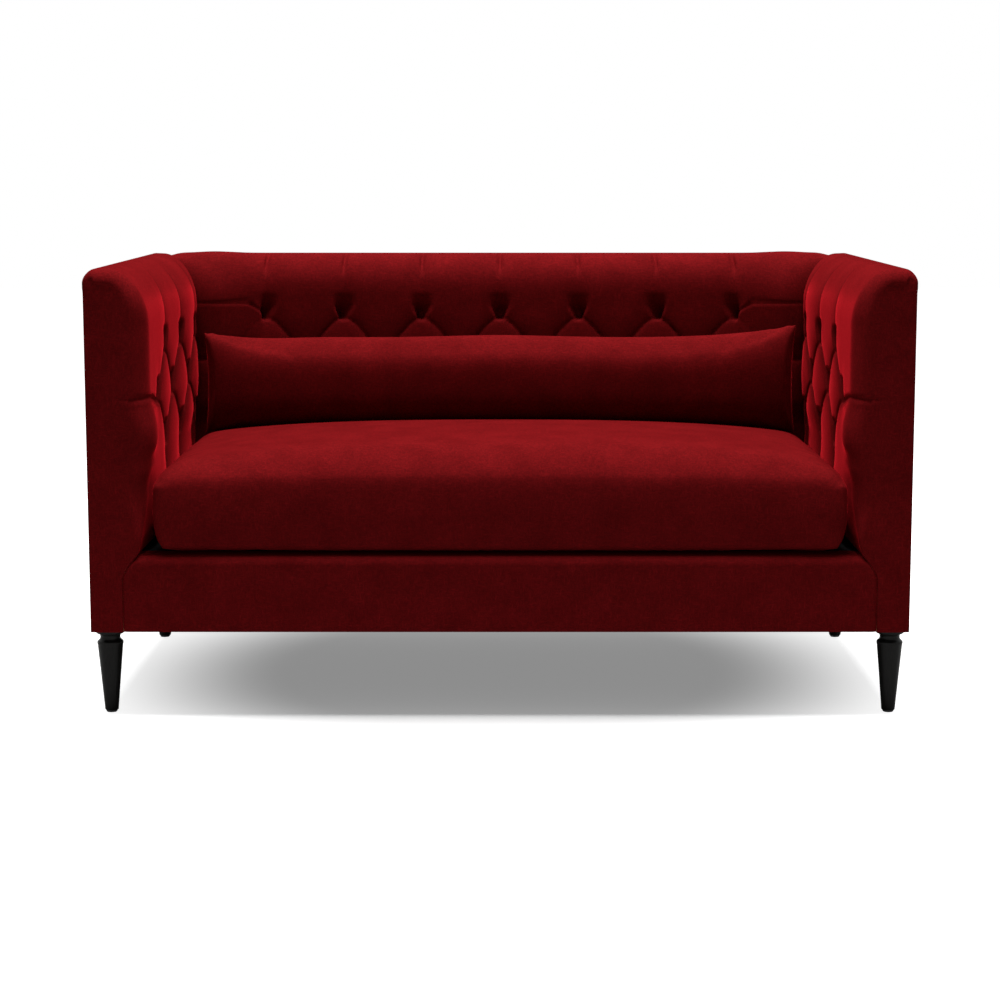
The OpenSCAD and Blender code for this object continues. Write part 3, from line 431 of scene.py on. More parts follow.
make_sky(overhead=0.55, level=0.056, below=0.04)
add_lamp("overhead_softbox", (0, -0.08, 5.6), (0, -0.06, 0), (3.5, 2.2), 810)
bpy.context.scene.view_settings.view_transform = "Standard"
print("floor, sky and softbox are set")

# %% [markdown]
# ## The padded walls
# Arms and back are one construction: a board, a thick layer of padding, and a velvet cover pulled
# down by rows of buttons. In section the cover starts tucked under the seat, rises up the inner
# face, rolls over the crest onto a narrow flat top, and turns down the outside to its seam.
# One function gives that section, so that the arms and the back meet at the corners.

# %% Plain curves
def smooth(x):
    c = np.clip(x, 0, 1)
    return c * c * (3 - 2 * c)


def bell(x):
    return np.exp(-np.square(x))


crest_z = top_z - crest_h
wadding_t = wall + bulge


def inner_t(z, behind):
    rise, puff = 60 * mm, 46 * mm
    above = z - cushion_top_z
    tucked = np.exp(-(z - deck_z) / tuck_h)
    fuller = bulge * smooth(above / rise) * smooth((behind - 0.4) / 0.3)
    fuller = fuller * smooth((crest_z + rise - z) / rise)
    pressed = 12 * mm * bell(behind / (90 * mm)) * smooth(-above / (40 * mm)) * (1 - tucked)
    puffed = front_pad * bell((behind - 62 * mm) / puff) * bell((above - 58 * mm) / puff)
    return wall - tuck * tucked + fuller - pressed + puffed * smooth(above / puff)


# %% [markdown]
# The section is kept as a list of steps. Each step has a level for the inner face, an angle for the
# crest and for the outer edge, and its distance along the cloth. The steps are close together
# where the pleats show, and wide apart below the seat cushion.

# %% Steps of the section
def section_steps(fine):
    dense_z = cushion_top_z - 25 * mm
    low = np.arange(deck_z, dense_z, 3 * fine)
    high = np.linspace(dense_z, crest_z, round((crest_z - cushion_top_z) / fine))
    rows = [("inner", z, z) for z in (*low, *high)]
    crest_length = 0.5 * math.pi * math.sqrt((crest_h ** 2 + (wadding_t - top_flat) ** 2) / 2)
    edge_z = top_z - edge_r
    reach = crest_z
    for kind, first, last, length, count in (
            ("crest", 0, math.pi / 2, crest_length, round(crest_length / fine)),
            ("top", top_flat, edge_r, top_flat - edge_r, 5),
            ("edge", 0, math.pi / 2, edge_r * math.pi / 2, 10),
            ("outer", edge_z, board_top_z, edge_z - board_top_z, 3)):
        for k in range(1, count + 1):
            share = k / count
            rows.append((kind, first + (last - first) * share, reach + length * share))
        reach += length
    return rows


def section_point(row, behind, square=1.0):
    kind, value, _ = row
    one = np.ones_like(behind)
    if kind == "inner":
        return inner_t(value * one, behind), value * one, one, 0 * one
    full = inner_t(crest_z * one, behind)
    if kind == "crest":
        c, s = max(math.cos(value), 0) * one, math.sin(value) * one
        wide = full - top_flat
        nt, nz = c ** (2 - square) / wide, s ** (2 - square) / crest_h
        long = np.hypot(nt, nz)
        return top_flat + wide * c ** square, crest_z + crest_h * s ** square, nt / long, nz / long
    if kind == "top":
        return value * one, top_z * one, 0 * one, one
    if kind == "edge":
        c, s = math.cos(value), math.sin(value)
        return (edge_r - edge_r * s) * one, (top_z - edge_r + edge_r * c) * one, -s * one, c * one
    return 0 * one, value * one, -one, 0 * one


steps = section_steps(3 * mm)
print(len(steps), "steps from the deck to the outer seam,",
      round((steps[-1][2] - deck_z) / mm), "mm of cloth")

# %% [markdown]
# ### Diamond tufting
# The buttons pull the padding down, and the spare cloth between them folds into pleats that run
# from button to button. Cloth leaves a button sideways and then drops, because the pleats are
# folded downwards, so the shoulders of each puff are round. Above the top row the pleats run
# straight up and fade over the crest. Just above each button the cloth stands open in a small dark
# V. The depth is worked out at each point of the sheet.

# %% How deep the cover lies at each point
def puffs(along, down, pattern):
    rows = 3
    u = np.clip(along, pattern["first"], pattern["last"]) / pattern["pitch"]
    row = np.clip(down / pattern["gap"], 0, rows - 1)
    whole = np.minimum(np.floor(row), rows - 2)
    bent = whole + (row - whole) ** pattern["droop"]
    return np.abs(np.sin(np.pi * u) ** 2 - np.sin(np.pi * bent / 2) ** 2) ** pattern["round"]


def tuft_depth(along, down, pattern):
    above = np.maximum(0, -down)
    fading = pattern["channel"] + (1 - pattern["channel"]) * np.exp(-above / (20 * mm))
    fading = fading * smooth((pattern["fade_end"] - above) / (60 * mm))
    depth = pattern["pleat"] * (1 - puffs(along, down, pattern)) * fading
    for u, w in pattern["spots"]:
        du, high = along - u, (w - down) / mm
        wide = (pattern["pit"] + pattern["spread"] * np.clip(high, 0, 40)) * mm
        upright = smooth((high + 9) / 8)
        upright = upright * smooth((pattern["open"] - high) / (0.85 * pattern["open"]))
        depth = depth + 23 * mm * np.exp(-(du / wide) ** 4) * upright
        if w == 0:
            notch = smooth((above - 60 * mm) / (60 * mm)) * smooth((175 * mm - above) / (30 * mm))
            depth = depth + pattern["notch"] * bell(du / (4.5 * mm)) * notch
    return depth


# %% [markdown]
# ### Buttons
# Each button is a domed cap with velvet pressed over it. It is modelled once, face up, with a
# rounded rim that turns in under the cap. It is then copied to every place and turned to face out.

# %% One covered button
def make_button():
    radius, rim, flatter = 12 * mm, 3 * mm, 0.55
    bpy.ops.mesh.primitive_uv_sphere_add(segments=24, ring_count=12, radius=radius)
    button = started("covered_button")
    edit(button, "ALL")
    bpy.ops.mesh.bisect(plane_co=(0, 0, -rim), plane_no=(0, 0, 1), clear_inner=True,
                        use_fill=True)
    bpy.ops.object.mode_set(mode="OBJECT")
    points = points_of(button)
    upper = points[:, 2] > 0
    points[upper, 2] *= flatter
    points[:, 2] += rim
    move_points(button, points)
    return button


def buttons_on(name, places, turn, nodes):
    copies = []
    for place in places:
        only(button_master)
        bpy.ops.object.duplicate()
        copy = bpy.context.object
        copy.rotation_euler = turn
        copy.location = place
        copies.append(copy)
    only(*copies)
    bpy.ops.object.transform_apply(location=True, rotation=True, scale=True)
    bpy.ops.object.join()
    finish(started(name), "frame", velvet, nodes)


button_master = make_button()
button_seat = 88 * mm
print("one button,", len(button_master.data.polygons), "faces")

# %% [markdown]
# ## The back
# The cover of the back is one wide sheet. A flat grid is added at the size of the sheet, and each
# of its points is then moved to its place on the section and pulled down by the tufting. Its ends
# are cut on the 45 degree line where it meets the arms, and roll in there, as the seam draws them.

# %% Pattern of the back
back_pitch, back_gap = 165 * mm, 95 * mm
back_first_z = top_z - 125 * mm
back_spots = [((col + row % 2 / 2) * back_pitch, row * back_gap)
              for row in range(3) for col in (range(-3, 4) if row % 2 == 0 else range(-4, 4))]
back_pattern = {
    "pitch": back_pitch, "gap": back_gap, "spots": back_spots,
    "first": -3.5 * back_pitch, "last": 3.5 * back_pitch, "channel": 0.2, "fade_end": 150 * mm,
    "pleat": 11 * mm, "round": 0.22, "droop": 0.64,
    "pit": 8, "spread": 0.4, "open": 40, "notch": 10 * mm,
}


def back_depth(along, down):
    side = np.abs(along) - 3 * back_pitch
    depth = tuft_depth(along, down - 4 * mm, back_pattern)
    plain = smooth(side / (14 * mm)) * (1 - smooth((down - 40 * mm) / (35 * mm)))
    plain = plain * smooth((down + 60 * mm) / (50 * mm))
    depth = depth * (1 - 0.85 * plain)
    line = -26 * mm * np.sin(np.pi / 2 * np.clip(side / (50 * mm), 0, 1))
    reach = np.where(down < line, 2.5 * mm, 7 * mm)
    pleat = np.maximum(0, 1 - np.sqrt(np.abs(down - line) / reach))
    return depth + 3.5 * mm * pleat * smooth((side + 4 * mm) / (10 * mm))


def roll_in(distance, reach, deep):
    part = np.clip(1 - distance / reach, 0, 1)
    return deep * (1 - np.sqrt(1 - 0.96 * part ** 2)) / 0.8


def end_of_back(distance, nz):
    top = np.maximum(0, nz) ** 4
    dip = 8 * mm * (1 - smooth((distance - 14 * mm) / (46 * mm)))
    bump = 3 * mm * bell((distance - 125 * mm) / (48 * mm))
    rolled = roll_in(distance, 48 * mm - 26 * mm * top, 30 * mm - 20 * mm * top)
    return rolled + top * (dip - bump)


def swell_top(nz):
    return 3 * mm * np.maximum(0, nz) ** 6


print(len(back_spots), "buttons on the back")

# %% Shape the cover of the back
mitre_gap = 0.2 * mm
turned_in = np.array([8, 16, 26]) * mm
padded_t = 3 * mm


def above_seat(z):
    return 0.45 + 0.55 * smooth((z - cushion_top_z + 60 * mm) / (60 * mm))


def grid_piece(name, columns, rows):
    bpy.ops.mesh.primitive_grid_add(x_subdivisions=columns - 1, y_subdivisions=rows - 1, size=1)
    return started(name)


def give_thickness(piece, thickness):
    edit(piece, "ALL")
    bpy.ops.mesh.remove_doubles(threshold=0.02 * mm)
    bpy.ops.object.mode_set(mode="OBJECT")
    modify(piece, "SOLIDIFY", thickness=thickness, offset=-1, use_rim=True)


def back_points():
    columns = round(2 * (half_w - wadding_t) / (3 * mm))
    share = np.linspace(-1, 1, columns)
    rows = []
    square = 1 - 0.34 * smooth((1 - np.abs(share)) / 0.2)
    for row in steps:
        t, z, nt, nz = section_point(row, depth * np.ones(columns), square)
        along = share * (half_w - t)
        sink = back_depth(along, back_first_z - row[2] * np.ones(columns))
        sink = sink * above_seat(z)
        sink = sink + end_of_back(half_w - t - np.abs(along), nz) - swell_top(nz)
        t, z = t - sink * nt, z - sink * nz
        line = np.stack([share * (half_w - t - mitre_gap), rear_y - t, z], axis=1)
        back = (t[-1] - turned_in * nt[-1]), (z[-1] - turned_in * nz[-1])
        hem = np.stack([half_w - back[0] - mitre_gap, rear_y - back[0], back[1]], axis=1)
        rows.append(np.concatenate([hem[::-1] * [-1, 1, 1], line, hem]))
    return np.array(rows)


shape = back_points()
back = grid_piece("back_upholstery", shape.shape[1], shape.shape[0])
move_points(back, shape.reshape(-1, 3))
give_thickness(back, padded_t)
finish(back, "frame", velvet, ["back_pad"])
buttons_on("back_buttons_covered",
           [(u, rear_y - button_seat, back_first_z - w) for u, w in back_spots],
           (math.pi / 2, 0, 0), ["back_buttons"])

# %% [markdown]
# ## The arms
# An arm has the same cover as the back, and it is one piece with the arm's front. From the inner
# face the cloth rolls round the front edge, crosses the front, and turns in at the outer side. The
# level pleat of the second row runs out round that edge and fades on the front. Below the deck the
# front goes on alone, with the curved seam where it meets the front rail.

# %% Pattern of an arm
arm_pitch, arm_gap = 195 * mm, 90 * mm
arm_first_z, arm_first = top_z - 165 * mm, 290 * mm
arm_spots = [((col - row % 2 / 2) * arm_pitch, row * arm_gap)
             for row in range(3) for col in range(3)]
arm_pattern = {
    "pitch": arm_pitch, "gap": arm_gap, "spots": arm_spots,
    "first": -arm_pitch / 2, "last": 2.5 * arm_pitch, "channel": 0.35, "fade_end": 190 * mm,
    "pleat": 12 * mm, "round": 0.26, "droop": 0.62,
    "pit": 15, "spread": 0.3, "open": 54, "notch": 0,
}


def level_pleat(down, rise, reach):
    return np.maximum(0, 1 - np.sqrt(np.abs(down - arm_gap + rise) / reach))


def arm_depth(behind, down):
    along = behind - arm_first
    depth = tuft_depth(along, down, arm_pattern)
    ahead = -arm_pitch / 2 - along
    depth = depth * (1 - 0.85 * smooth(ahead / (70 * mm)))
    rise = 20 * mm * smooth(ahead / (150 * mm))
    return depth + 6 * mm * level_pleat(down, rise, 9 * mm) * smooth((ahead + 4 * mm) / (16 * mm))


def seam_t(z):
    above = wall - tuck * np.exp(-np.maximum(0, z - deck_z) / tuck_h)
    flare = np.clip((z - deck_z + flare_h) / flare_h, 0, 1) ** 1.5
    return np.where(z > deck_z, above, arm_foot + (wall - tuck - arm_foot) * flare)


print(len(arm_spots), "buttons on each arm")

# %% Shape the cover of an arm
level_z = 640 * mm
dome = 1.6 * mm


def foot_rise(z):
    return float(smooth((z - deck_z) / (110 * mm)))


def front_stretch(row):
    kind, value, _ = row
    if kind == "inner":
        return 1 + 0.9 * foot_rise(value)
    if kind == "crest":
        return 1.9 - 0.7 * value / (math.pi / 2)
    return 1.2 if kind == "top" else 1.0


def front_radius(row):
    kind, value, _ = row
    turned = value / (math.pi / 2)
    if kind == "inner":
        return (4 + 29 * foot_rise(value)) * mm
    if kind == "crest":
        return (33 - 11 * turned) * mm
    if kind == "edge":
        return (22 - 17 * turned) * mm
    return {"foot": 4, "top": 22, "outer": 5}[kind] * mm


def arm_points():
    foot_rows = [("foot", z, z) for z in np.arange(frame_z, deck_z - 1 * mm, 7 * mm)]
    run, turn, face = np.linspace(0, 1, 230), np.linspace(0, 1, 13)[1:], np.linspace(0, 1, 19)[1:]
    side = np.linspace(0, 1, 5)[1:]
    end = steps[-1][2]
    rows = []
    for row in foot_rows + steps:
        kind, value, reach = row
        r = front_radius(row)
        long_r = r * front_stretch(row)
        behind_all = np.concatenate([depth - run * (depth - long_r), long_r + 0 * turn])
        if kind == "foot":
            t = seam_t(value) + 0 * behind_all
            z, nt, nz = value + 0 * t, 1 + 0 * t, 0 * t
        else:
            t, z, nt, nz = section_point(row, behind_all)
        n = len(run)
        behind = (depth - t[:n]) * (1 - run) + long_r * run
        down = arm_first_z - reach + 0 * behind_all
        sink = arm_depth(np.concatenate([behind, long_r + 0 * turn]), down)
        if kind == "foot":
            sink = 0 * sink
        sink = sink * above_seat(z)
        sink[:n] += roll_in(depth - t[:n] - behind, 18 * mm, 9 * mm)
        sink -= swell_top(nz)
        run_t, run_z = t[:n] - sink[:n] * nt[:n], z[:n] - sink[:n] * nz[:n]
        run_y = np.maximum(0, 1 - run) * (depth - run_t - mitre_gap) + long_r * run
        a = turn * math.pi / 2
        side_r = 7 * mm if kind != "outer" else (5 + 2 * (end - reach) / (14 * mm)) * mm
        t1, z1, nt1, nz1 = t[n:], z[n:], nt[n:], nz[n:]
        reach_n = -r + (r - sink[n:]) * np.cos(a)
        turn_t, turn_z = t1 + reach_n * nt1, z1 + reach_n * nz1
        turn_y = long_r - (long_r - dome - sink[n:]) * np.sin(a)
        level = reach if reach < level_z else (
            level_z + (board_top_z - level_z) * (reach - level_z) / (end - level_z))
        c_t, c_z = t1[-1] - r * nt1[-1], z1[-1] - r * nz1[-1]
        face_t, face_z = c_t + (side_r - c_t) * face, c_z + (level - c_z) * face
        fade = 1 - smooth((c_t - face_t) / (42 * mm))
        mark = 0 if kind == "foot" else level_pleat(arm_first_z - face_z, 20 * mm, 5 * mm)
        face_y = dome * (1 - np.sin(math.pi * face)) + 3 * mm * mark * fade
        b = side * math.pi / 2
        side_t = side_r * (1 - np.sin(b))
        side_y = dome + side_r * (1 - np.cos(b))
        hem_t, hem_z = run_t[0] - turned_in[::-1] * nt[0], run_z[0] - turned_in[::-1] * nz[0]
        hem_y = depth - hem_t - mitre_gap
        t_all = np.concatenate([hem_t, run_t, turn_t, face_t, side_t, [0]])
        y_all = np.concatenate([hem_y, run_y, turn_y, face_y, side_y, [front_pad]])
        z_all = np.concatenate([hem_z, run_z, turn_z, face_z, level + 0 * side_t, [level]])
        rows.append(np.stack([half_w - t_all, front_y + y_all, z_all], axis=1))
    return np.array(rows), len(foot_rows), len(run) + len(turned_in)


def make_arm(name, hand, nodes):
    shape, feet, run = arm_points()
    rows, columns = shape.shape[:2]
    inside = [(r, c) for r in range(feet) for c in range(run - 1)]
    shape = shape * [hand, 1, 1]
    if hand < 0:
        shape = shape[:, ::-1]
    arm = grid_piece(name, columns, rows)
    move_points(arm, shape.reshape(-1, 3))
    unseen = {r * columns + (c if hand > 0 else columns - 1 - c) for r, c in inside}
    edit(arm)
    pick_faces(arm, lambda f: any(v in unseen for v in f.vertices))
    bpy.ops.mesh.delete(type="FACE")
    give_thickness(arm, padded_t)
    finish(arm, "frame", velvet, nodes)


for name, hand in (("left", -1), ("right", 1)):
    make_arm(f"{name}_arm_upholstery", hand, [f"{name}_arm_pad", f"{name}_arm_front"])
    buttons_on(
        f"{name}_arm_buttons_covered",
        [(hand * (half_w - button_seat), front_y + arm_first + u, arm_first_z - w)
         for u, w in arm_spots],
        (0, -hand * math.pi / 2, 0), [f"{name}_arm_buttons"])
only(button_master)
bpy.ops.object.delete()

# %% [markdown]
# ## The plain covers
# The outer sides and the outer back are flat panels of thin wadding and velvet, sewn to the arms
# along the top. Each is a thin block with softened edges, whose face swells a little from its
# seams. The edges lap over their neighbours, so that no frame timber shows in the seams.

# %% Outer panels
cover, lap, swell_t = 6 * mm, 3 * mm, 2.5 * mm


def eased_block(name, low, high, bevel, segments):
    bpy.ops.mesh.primitive_cube_add(size=1, location=(low + high) / 2, scale=high - low)
    block = started(name)
    settle(block)
    modify(block, "BEVEL", width=bevel, segments=segments)
    return block


def make_panel(name, low, high, out, nodes):
    low, high = Vector(low), Vector(high)
    panel = eased_block(name, low, high, 4 * mm, 4)
    edit(panel)
    pick_faces(panel, lambda f: f.area > 0.2)
    bpy.ops.mesh.subdivide(number_cuts=24)
    bpy.ops.object.mode_set(mode="OBJECT")
    points = points_of(panel)
    share = (points - np.array(low)) / np.array(high - low) * 2 - 1
    axis = 0 if out[0] else 1
    swell = swell_t
    for across in (1 - axis, 2):
        swell = swell * np.clip(1 - share[:, across] ** 6, 0, 1)
    outer = share[:, axis] * out[axis] > 0
    points[outer, axis] += out[axis] * (swell[outer] - swell_t)
    move_points(panel, points)
    finish(panel, "frame", velvet, nodes, angle=math.radians(60))


panel_low_z = frame_z - 1.5 * mm
panel_top_z = board_top_z + 9 * mm
for name, hand in (("left", -1), ("right", 1)):
    xs = sorted((hand * half_w, hand * (half_w - cover)))
    make_panel(f"{name}_outer_panel", (xs[0], wood_front_y - lap, panel_low_z),
               (xs[1], rear_y, panel_top_z), (hand, 0), [f"{name}_outer_cover"])
make_panel("outer_back_panel", (-half_w + cover - lap, rear_y - cover, panel_low_z),
           (half_w - cover + lap, rear_y, panel_top_z), (0, 1), ["outer_back_cover"])

# %% [markdown]
# ## The front rail
# The velvet of the front rail comes up from under the frame, over a roll of wadding along the top
# edge, and back to the deck. Its ends follow the curved seam of the arm fronts.

# %% The rail's cover
rail_roll, rail_end_r, rail_end_dip = 16 * mm, 12 * mm, 3 * mm
rail_back_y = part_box("deck_cloth")[0].y
deck_under_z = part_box("deck_felt")[0].z


def rail_profile():
    profile = [(wood_front_y, frame_z), (front_y + 3 * mm, frame_z + 0.5 * mm)]
    profile += [(front_y, z) for z in np.arange(frame_z + 4 * mm, deck_z - rail_roll, 6 * mm)]
    for a in np.linspace(0, math.pi / 2, 14):
        profile.append((front_y + rail_roll * (1 - math.cos(a)),
                        deck_z - rail_roll + rail_roll * math.sin(a)))
    profile += [(y, deck_z) for y in np.linspace(front_y + rail_roll, rail_back_y, 9)[1:]]
    return profile + [(rail_back_y, deck_under_z)]


profile = rail_profile()
across = np.linspace(-1, 1, 201)
shape = []
for y, z in profile:
    half = half_w - float(seam_t(z)) - 0.5 * mm
    near = np.minimum(half * (1 - np.abs(across)), rail_end_r) / rail_end_r
    soft = rail_end_dip * (1 - np.sqrt(1 - (1 - near) ** 2 * 0.98))
    shape.append([(half * s, y + d if y < wood_front_y else y, z) for s, d in zip(across, soft)])
shape = np.array(shape)
rail = grid_piece("front_rail_upholstery", shape.shape[1], shape.shape[0])
move_points(rail, shape.reshape(-1, 3))
give_thickness(rail, 2.5 * mm)
finish(rail, "frame", velvet, ["front_rail_cover"])

# %% [markdown]
# ## Soft cushions
# A cushion takes its shape from what is pressed into its cover. The cover starts a little small,
# is meshed evenly, and is then blown up by Blender's Cloth with pressure and no gravity. How far a
# point may move is capped, so the cushion keeps its size.

# %% Blow up a cushion
swell_frames = 20


def swell_up(piece, pressure, cap, stiff=15):
    only(piece)
    before = points_of(piece)
    cloth = piece.modifiers.new("Cloth", "CLOTH")
    cloth.settings.use_pressure = True
    cloth.settings.uniform_pressure_force = pressure
    cloth.settings.effector_weights.gravity = 0
    cloth.settings.tension_stiffness = stiff
    cloth.settings.compression_stiffness = stiff
    cloth.point_cache.frame_start, cloth.point_cache.frame_end = 1, swell_frames
    for step in range(1, swell_frames + 1):
        bpy.context.scene.frame_set(step)
    bpy.ops.object.modifier_apply(modifier=cloth.name)
    bpy.context.scene.frame_set(1)
    move = points_of(piece) - before
    far = np.maximum(np.linalg.norm(move, axis=1, keepdims=True), 1e-9)
    move_points(piece, before + move * np.minimum(1, cap / far))
    print(piece.name, "moved", round(float(far.max()) / mm, 1), "mm, capped at",
          round(cap / mm, 1))


def fit_box(piece, low, high):
    points = points_of(piece)
    least, most = points.min(axis=0), points.max(axis=0)
    low, high = np.array(low), np.array(high)
    print(piece.name, "is off the size of its box by",
          np.round((most - least - high + low) / mm, 1), "mm")
    move_points(piece, low + (points - least) * (high - low) / (most - least))


# %% [markdown]
# ### The seat cushion
# One long cushion fills the seat: a foam block in fibre wadding, crowned in the middle, without
# piping. It starts as a finely divided cube, whose points are moved onto the cushion's form.

# %% Form of the seat cushion
seat_low, seat_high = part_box("seat_cushion_cover")
seat_x = seat_high.x
seat_half_d = (seat_high.y - seat_low.y) / 2
seat_mid_y = (seat_high.y + seat_low.y) / 2
seat_edge_h = 165 * mm
seat_corner_r, seat_top_r = 22 * mm, 34 * mm
seat_side_h = 132 * mm
seat_foot_rs = (24 * mm, 10 * mm)
at_face = 0.999


def crown_z(x, y):
    px = np.minimum(1, np.abs(x) / seat_x)
    py = np.minimum(1, np.abs(y - seat_mid_y) / seat_half_d)
    rise = seat_high.z - seat_low.z - seat_edge_h + seat_top_r / 2
    deep = np.where(y < seat_mid_y, (1 - py ** 6) ** 0.4, (1 - py ** 2.4) ** 0.75)
    return seat_low.z + seat_edge_h - seat_top_r / 2 + rise * (1 - px ** 2.6) ** 0.6 * deep


def round_plan(x, y, hx, hy, r):
    ex, ey = np.maximum(0, np.abs(x) - (hx - r)), np.maximum(0, np.abs(y) - (hy - r))
    long = np.maximum(np.hypot(ex, ey), 1e-9)
    square = np.maximum(ex, ey)
    k = np.where((ex > 0) & (ey > 0), square / long, 1)
    return (np.sign(x) * (np.minimum(np.abs(x), hx - r) + ex * k),
            np.sign(y) * (np.minimum(np.abs(y), hy - r) + ey * k))


def side_pull(height, up, foot_r):
    foot = np.maximum(0, foot_r - height)
    pull = foot_r - np.sqrt(np.maximum(0, foot_r ** 2 - foot ** 2))
    pull = pull + 8 * mm * (1 - up) ** 2 - 4 * mm * np.sin(np.pi * up)
    return np.where(up > at_face, 0, pull)


def cushion_form(cube, small):
    share = points_of(cube) * 2
    share = share * (1.3 - 0.3 * share ** 2)
    hx, hy = seat_x - small, seat_half_d - small
    x, y = round_plan(share[:, 0] * hx, share[:, 1] * hy, hx, hy, seat_corner_r)
    bottom = seat_low.z + 0.5 * mm
    up = (share[:, 2] + 1) / 2
    reach_x, reach_y, fullness = 44 * mm, 80 * mm, 2.4
    near = (np.clip(1 - (hx - np.abs(x)) / reach_x, 0, 1) ** fullness
            + np.clip(1 - (hy - np.abs(y)) / reach_y, 0, 1) ** fullness)
    rolled = (1 - np.minimum(1, near)) ** (1 / fullness)
    side_z = bottom + seat_side_h
    top = side_z + (crown_z(x, seat_mid_y + y) - side_z) * rolled
    height = bottom + up * seat_side_h
    height = np.where(up > at_face, top, height)
    pull_x, pull_y = (side_pull(height - bottom, up, r) for r in seat_foot_rs)
    under = up < 1 - at_face
    x, y = np.where(under, x * (1 - pull_x / hx), x), np.where(under, y * (1 - pull_y / hy), y)
    x -= np.where((np.abs(share[:, 0]) > at_face) & ~under, np.sign(x) * pull_x, 0)
    y -= np.where((np.abs(share[:, 1]) > at_face) & ~under, np.sign(y) * pull_y, 0)
    return np.stack([x, y + seat_mid_y, height], axis=1)


bpy.ops.mesh.primitive_cube_add(size=1)
seat = started("seat_cushion_velvet")
edit(seat, "ALL")
bpy.ops.mesh.subdivide(number_cuts=79)
bpy.ops.object.mode_set(mode="OBJECT")
move_points(seat, cushion_form(seat, 7 * mm))
only(seat)
seat.data.remesh_voxel_size = 8 * mm
bpy.ops.object.voxel_remesh()
modify(seat, "SMOOTH", factor=0.5, iterations=4)
swell_up(seat, 4.0, 8 * mm)
modify(seat, "SUBSURF", levels=1, render_levels=1)
fit_box(seat, seat_low, seat_high)
finish(seat, "seat_cushion", velvet, ["seat_cushion_cover"])

# %% [markdown]
# The zip of the cushion lies in a shallow slot along its back. The slot is pressed into the
# finished mesh, so that the tape and the teeth of the construction show in it when the cushion
# slides out.

# %% Press the zip's slot into the back of the cushion
zip_low, zip_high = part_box("seat_zip")


def press_slot(piece):
    points = points_of(piece)
    inside_x = smooth((zip_high.x + 4 * mm - np.abs(points[:, 0])) / (6 * mm))
    middle_z = (zip_low.z + zip_high.z) / 2
    half_h = (zip_high.z - zip_low.z) / 2
    inside_z = smooth((half_h + 5 * mm - np.abs(points[:, 2] - middle_z)) / (5 * mm))
    floor_y = zip_low.y - 0.5 * mm
    deep = np.where(points[:, 1] > floor_y, points[:, 1] - floor_y, 0)
    behind = points[:, 1] > seat_mid_y
    points[:, 1] -= np.where(behind, deep * inside_x * inside_z, 0)
    move_points(piece, points)


press_slot(seat)
print("slot from", round(zip_low.x / mm), "to", round(zip_high.x / mm), "mm")

# %% [markdown]
# ### The lumbar pillow
# The long pillow is two panels of velvet sewn edge to edge and stuffed with fibre. It has no
# piping, so it thins to a knife edge all round, and its corners stand out as ears. The form below
# is thick in the middle, thin at the seam, and follows the crown of the seat along its lower edge.

# %% Form of the pillow
pillow_low, pillow_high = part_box("pillow_cover")
pillow_half_w = pillow_high.x
pillow_y = (pillow_low.y + pillow_high.y) / 2
pillow_t = pillow_high.y - pillow_low.y
pillow_h = 187 * mm
left_ear, right_ear = 12 * mm, 28 * mm


def pillow_bottom(x):
    return crown_z(x, pillow_y) + 0.6 * mm


def pillow_top(f):
    far = np.abs(f)
    left = left_ear * far ** 12 - 4.5 * mm * bell((f + 0.8) / 0.14)
    ear = np.where(f < 0, left, right_ear * far ** 6) - 4 * mm * smooth((far - 0.965) / 0.035)
    wave = 3 * mm * np.cos(2 * np.pi * f) * (1 - far)
    return pillow_bottom(0) + pillow_h + ear + wave


def pillow_form(ball, wrap):
    share = points_of(ball) * 2
    f, g = share[:, 0], share[:, 2]
    f = f * (1.2 - 0.2 * f ** 2)
    v = (g * (1.25 - 0.25 * g ** 2) + 1) / 2
    draw = 7 * mm * (1 - (2 * v - 1) ** 2) * np.abs(f) ** 12
    x = f * (pillow_half_w - wrap) - np.sign(f) * draw
    low, high = pillow_bottom(x) + wrap, pillow_top(f) - wrap
    plump = (np.clip(1 - np.abs(f) ** 9, 0, 1) ** 0.6
             * np.clip(1 - np.abs(2 * v - 1) ** 2.7, 0, 1) ** 0.55)
    half_t = np.maximum(1.6 * mm, (pillow_t / 2 - wrap) * plump)
    way = np.clip(share[:, 1], -1, 1)
    return np.stack([x, pillow_y + way * half_t, low + (high - low) * v], axis=1)


def start_pillow(name, cuts_x, cuts_z):
    bpy.ops.mesh.primitive_grid_add(x_subdivisions=cuts_x, y_subdivisions=cuts_z, size=1,
                                    rotation=(math.pi / 2, 0, 0))
    pillow = started(name)
    settle(pillow)
    modify(pillow, "SOLIDIFY", thickness=1, offset=0, use_rim=True)
    return pillow


def fit_edges(piece, columns=80):
    points = points_of(piece)
    x, z = points[:, 0], points[:, 2]
    lines = np.linspace(-pillow_half_w, pillow_half_w, columns + 1)
    place = np.clip(np.digitize(x, lines) - 1, 0, columns - 1)
    middles = (lines[:-1] + lines[1:]) / 2
    least = np.interp(x, middles, [z[place == k].min() for k in range(columns)])
    most = np.interp(x, middles, [z[place == k].max() for k in range(columns)])
    low, high = pillow_bottom(x), pillow_top(x / pillow_half_w)
    points[:, 2] = low + (z - least) * (high - low) / (most - least)
    move_points(piece, points)


pillow = start_pillow("lumbar_pillow_velvet", 190, 34)
move_points(pillow, pillow_form(pillow, 2 * mm))
swell_up(pillow, 4.0, 6 * mm)
modify(pillow, "SUBSURF", levels=1, render_levels=1)
fit_box(pillow, pillow_low, pillow_high)
fit_edges(pillow)
finish(pillow, "lumbar_pillow", velvet, ["pillow_cover"])

# %% [markdown]
# ### What is inside
# The covers are filled with a block of foam and with a bag of fibre. Neither shows, but each is a
# piece of its own, with eased edges, inside the cover that it fills.

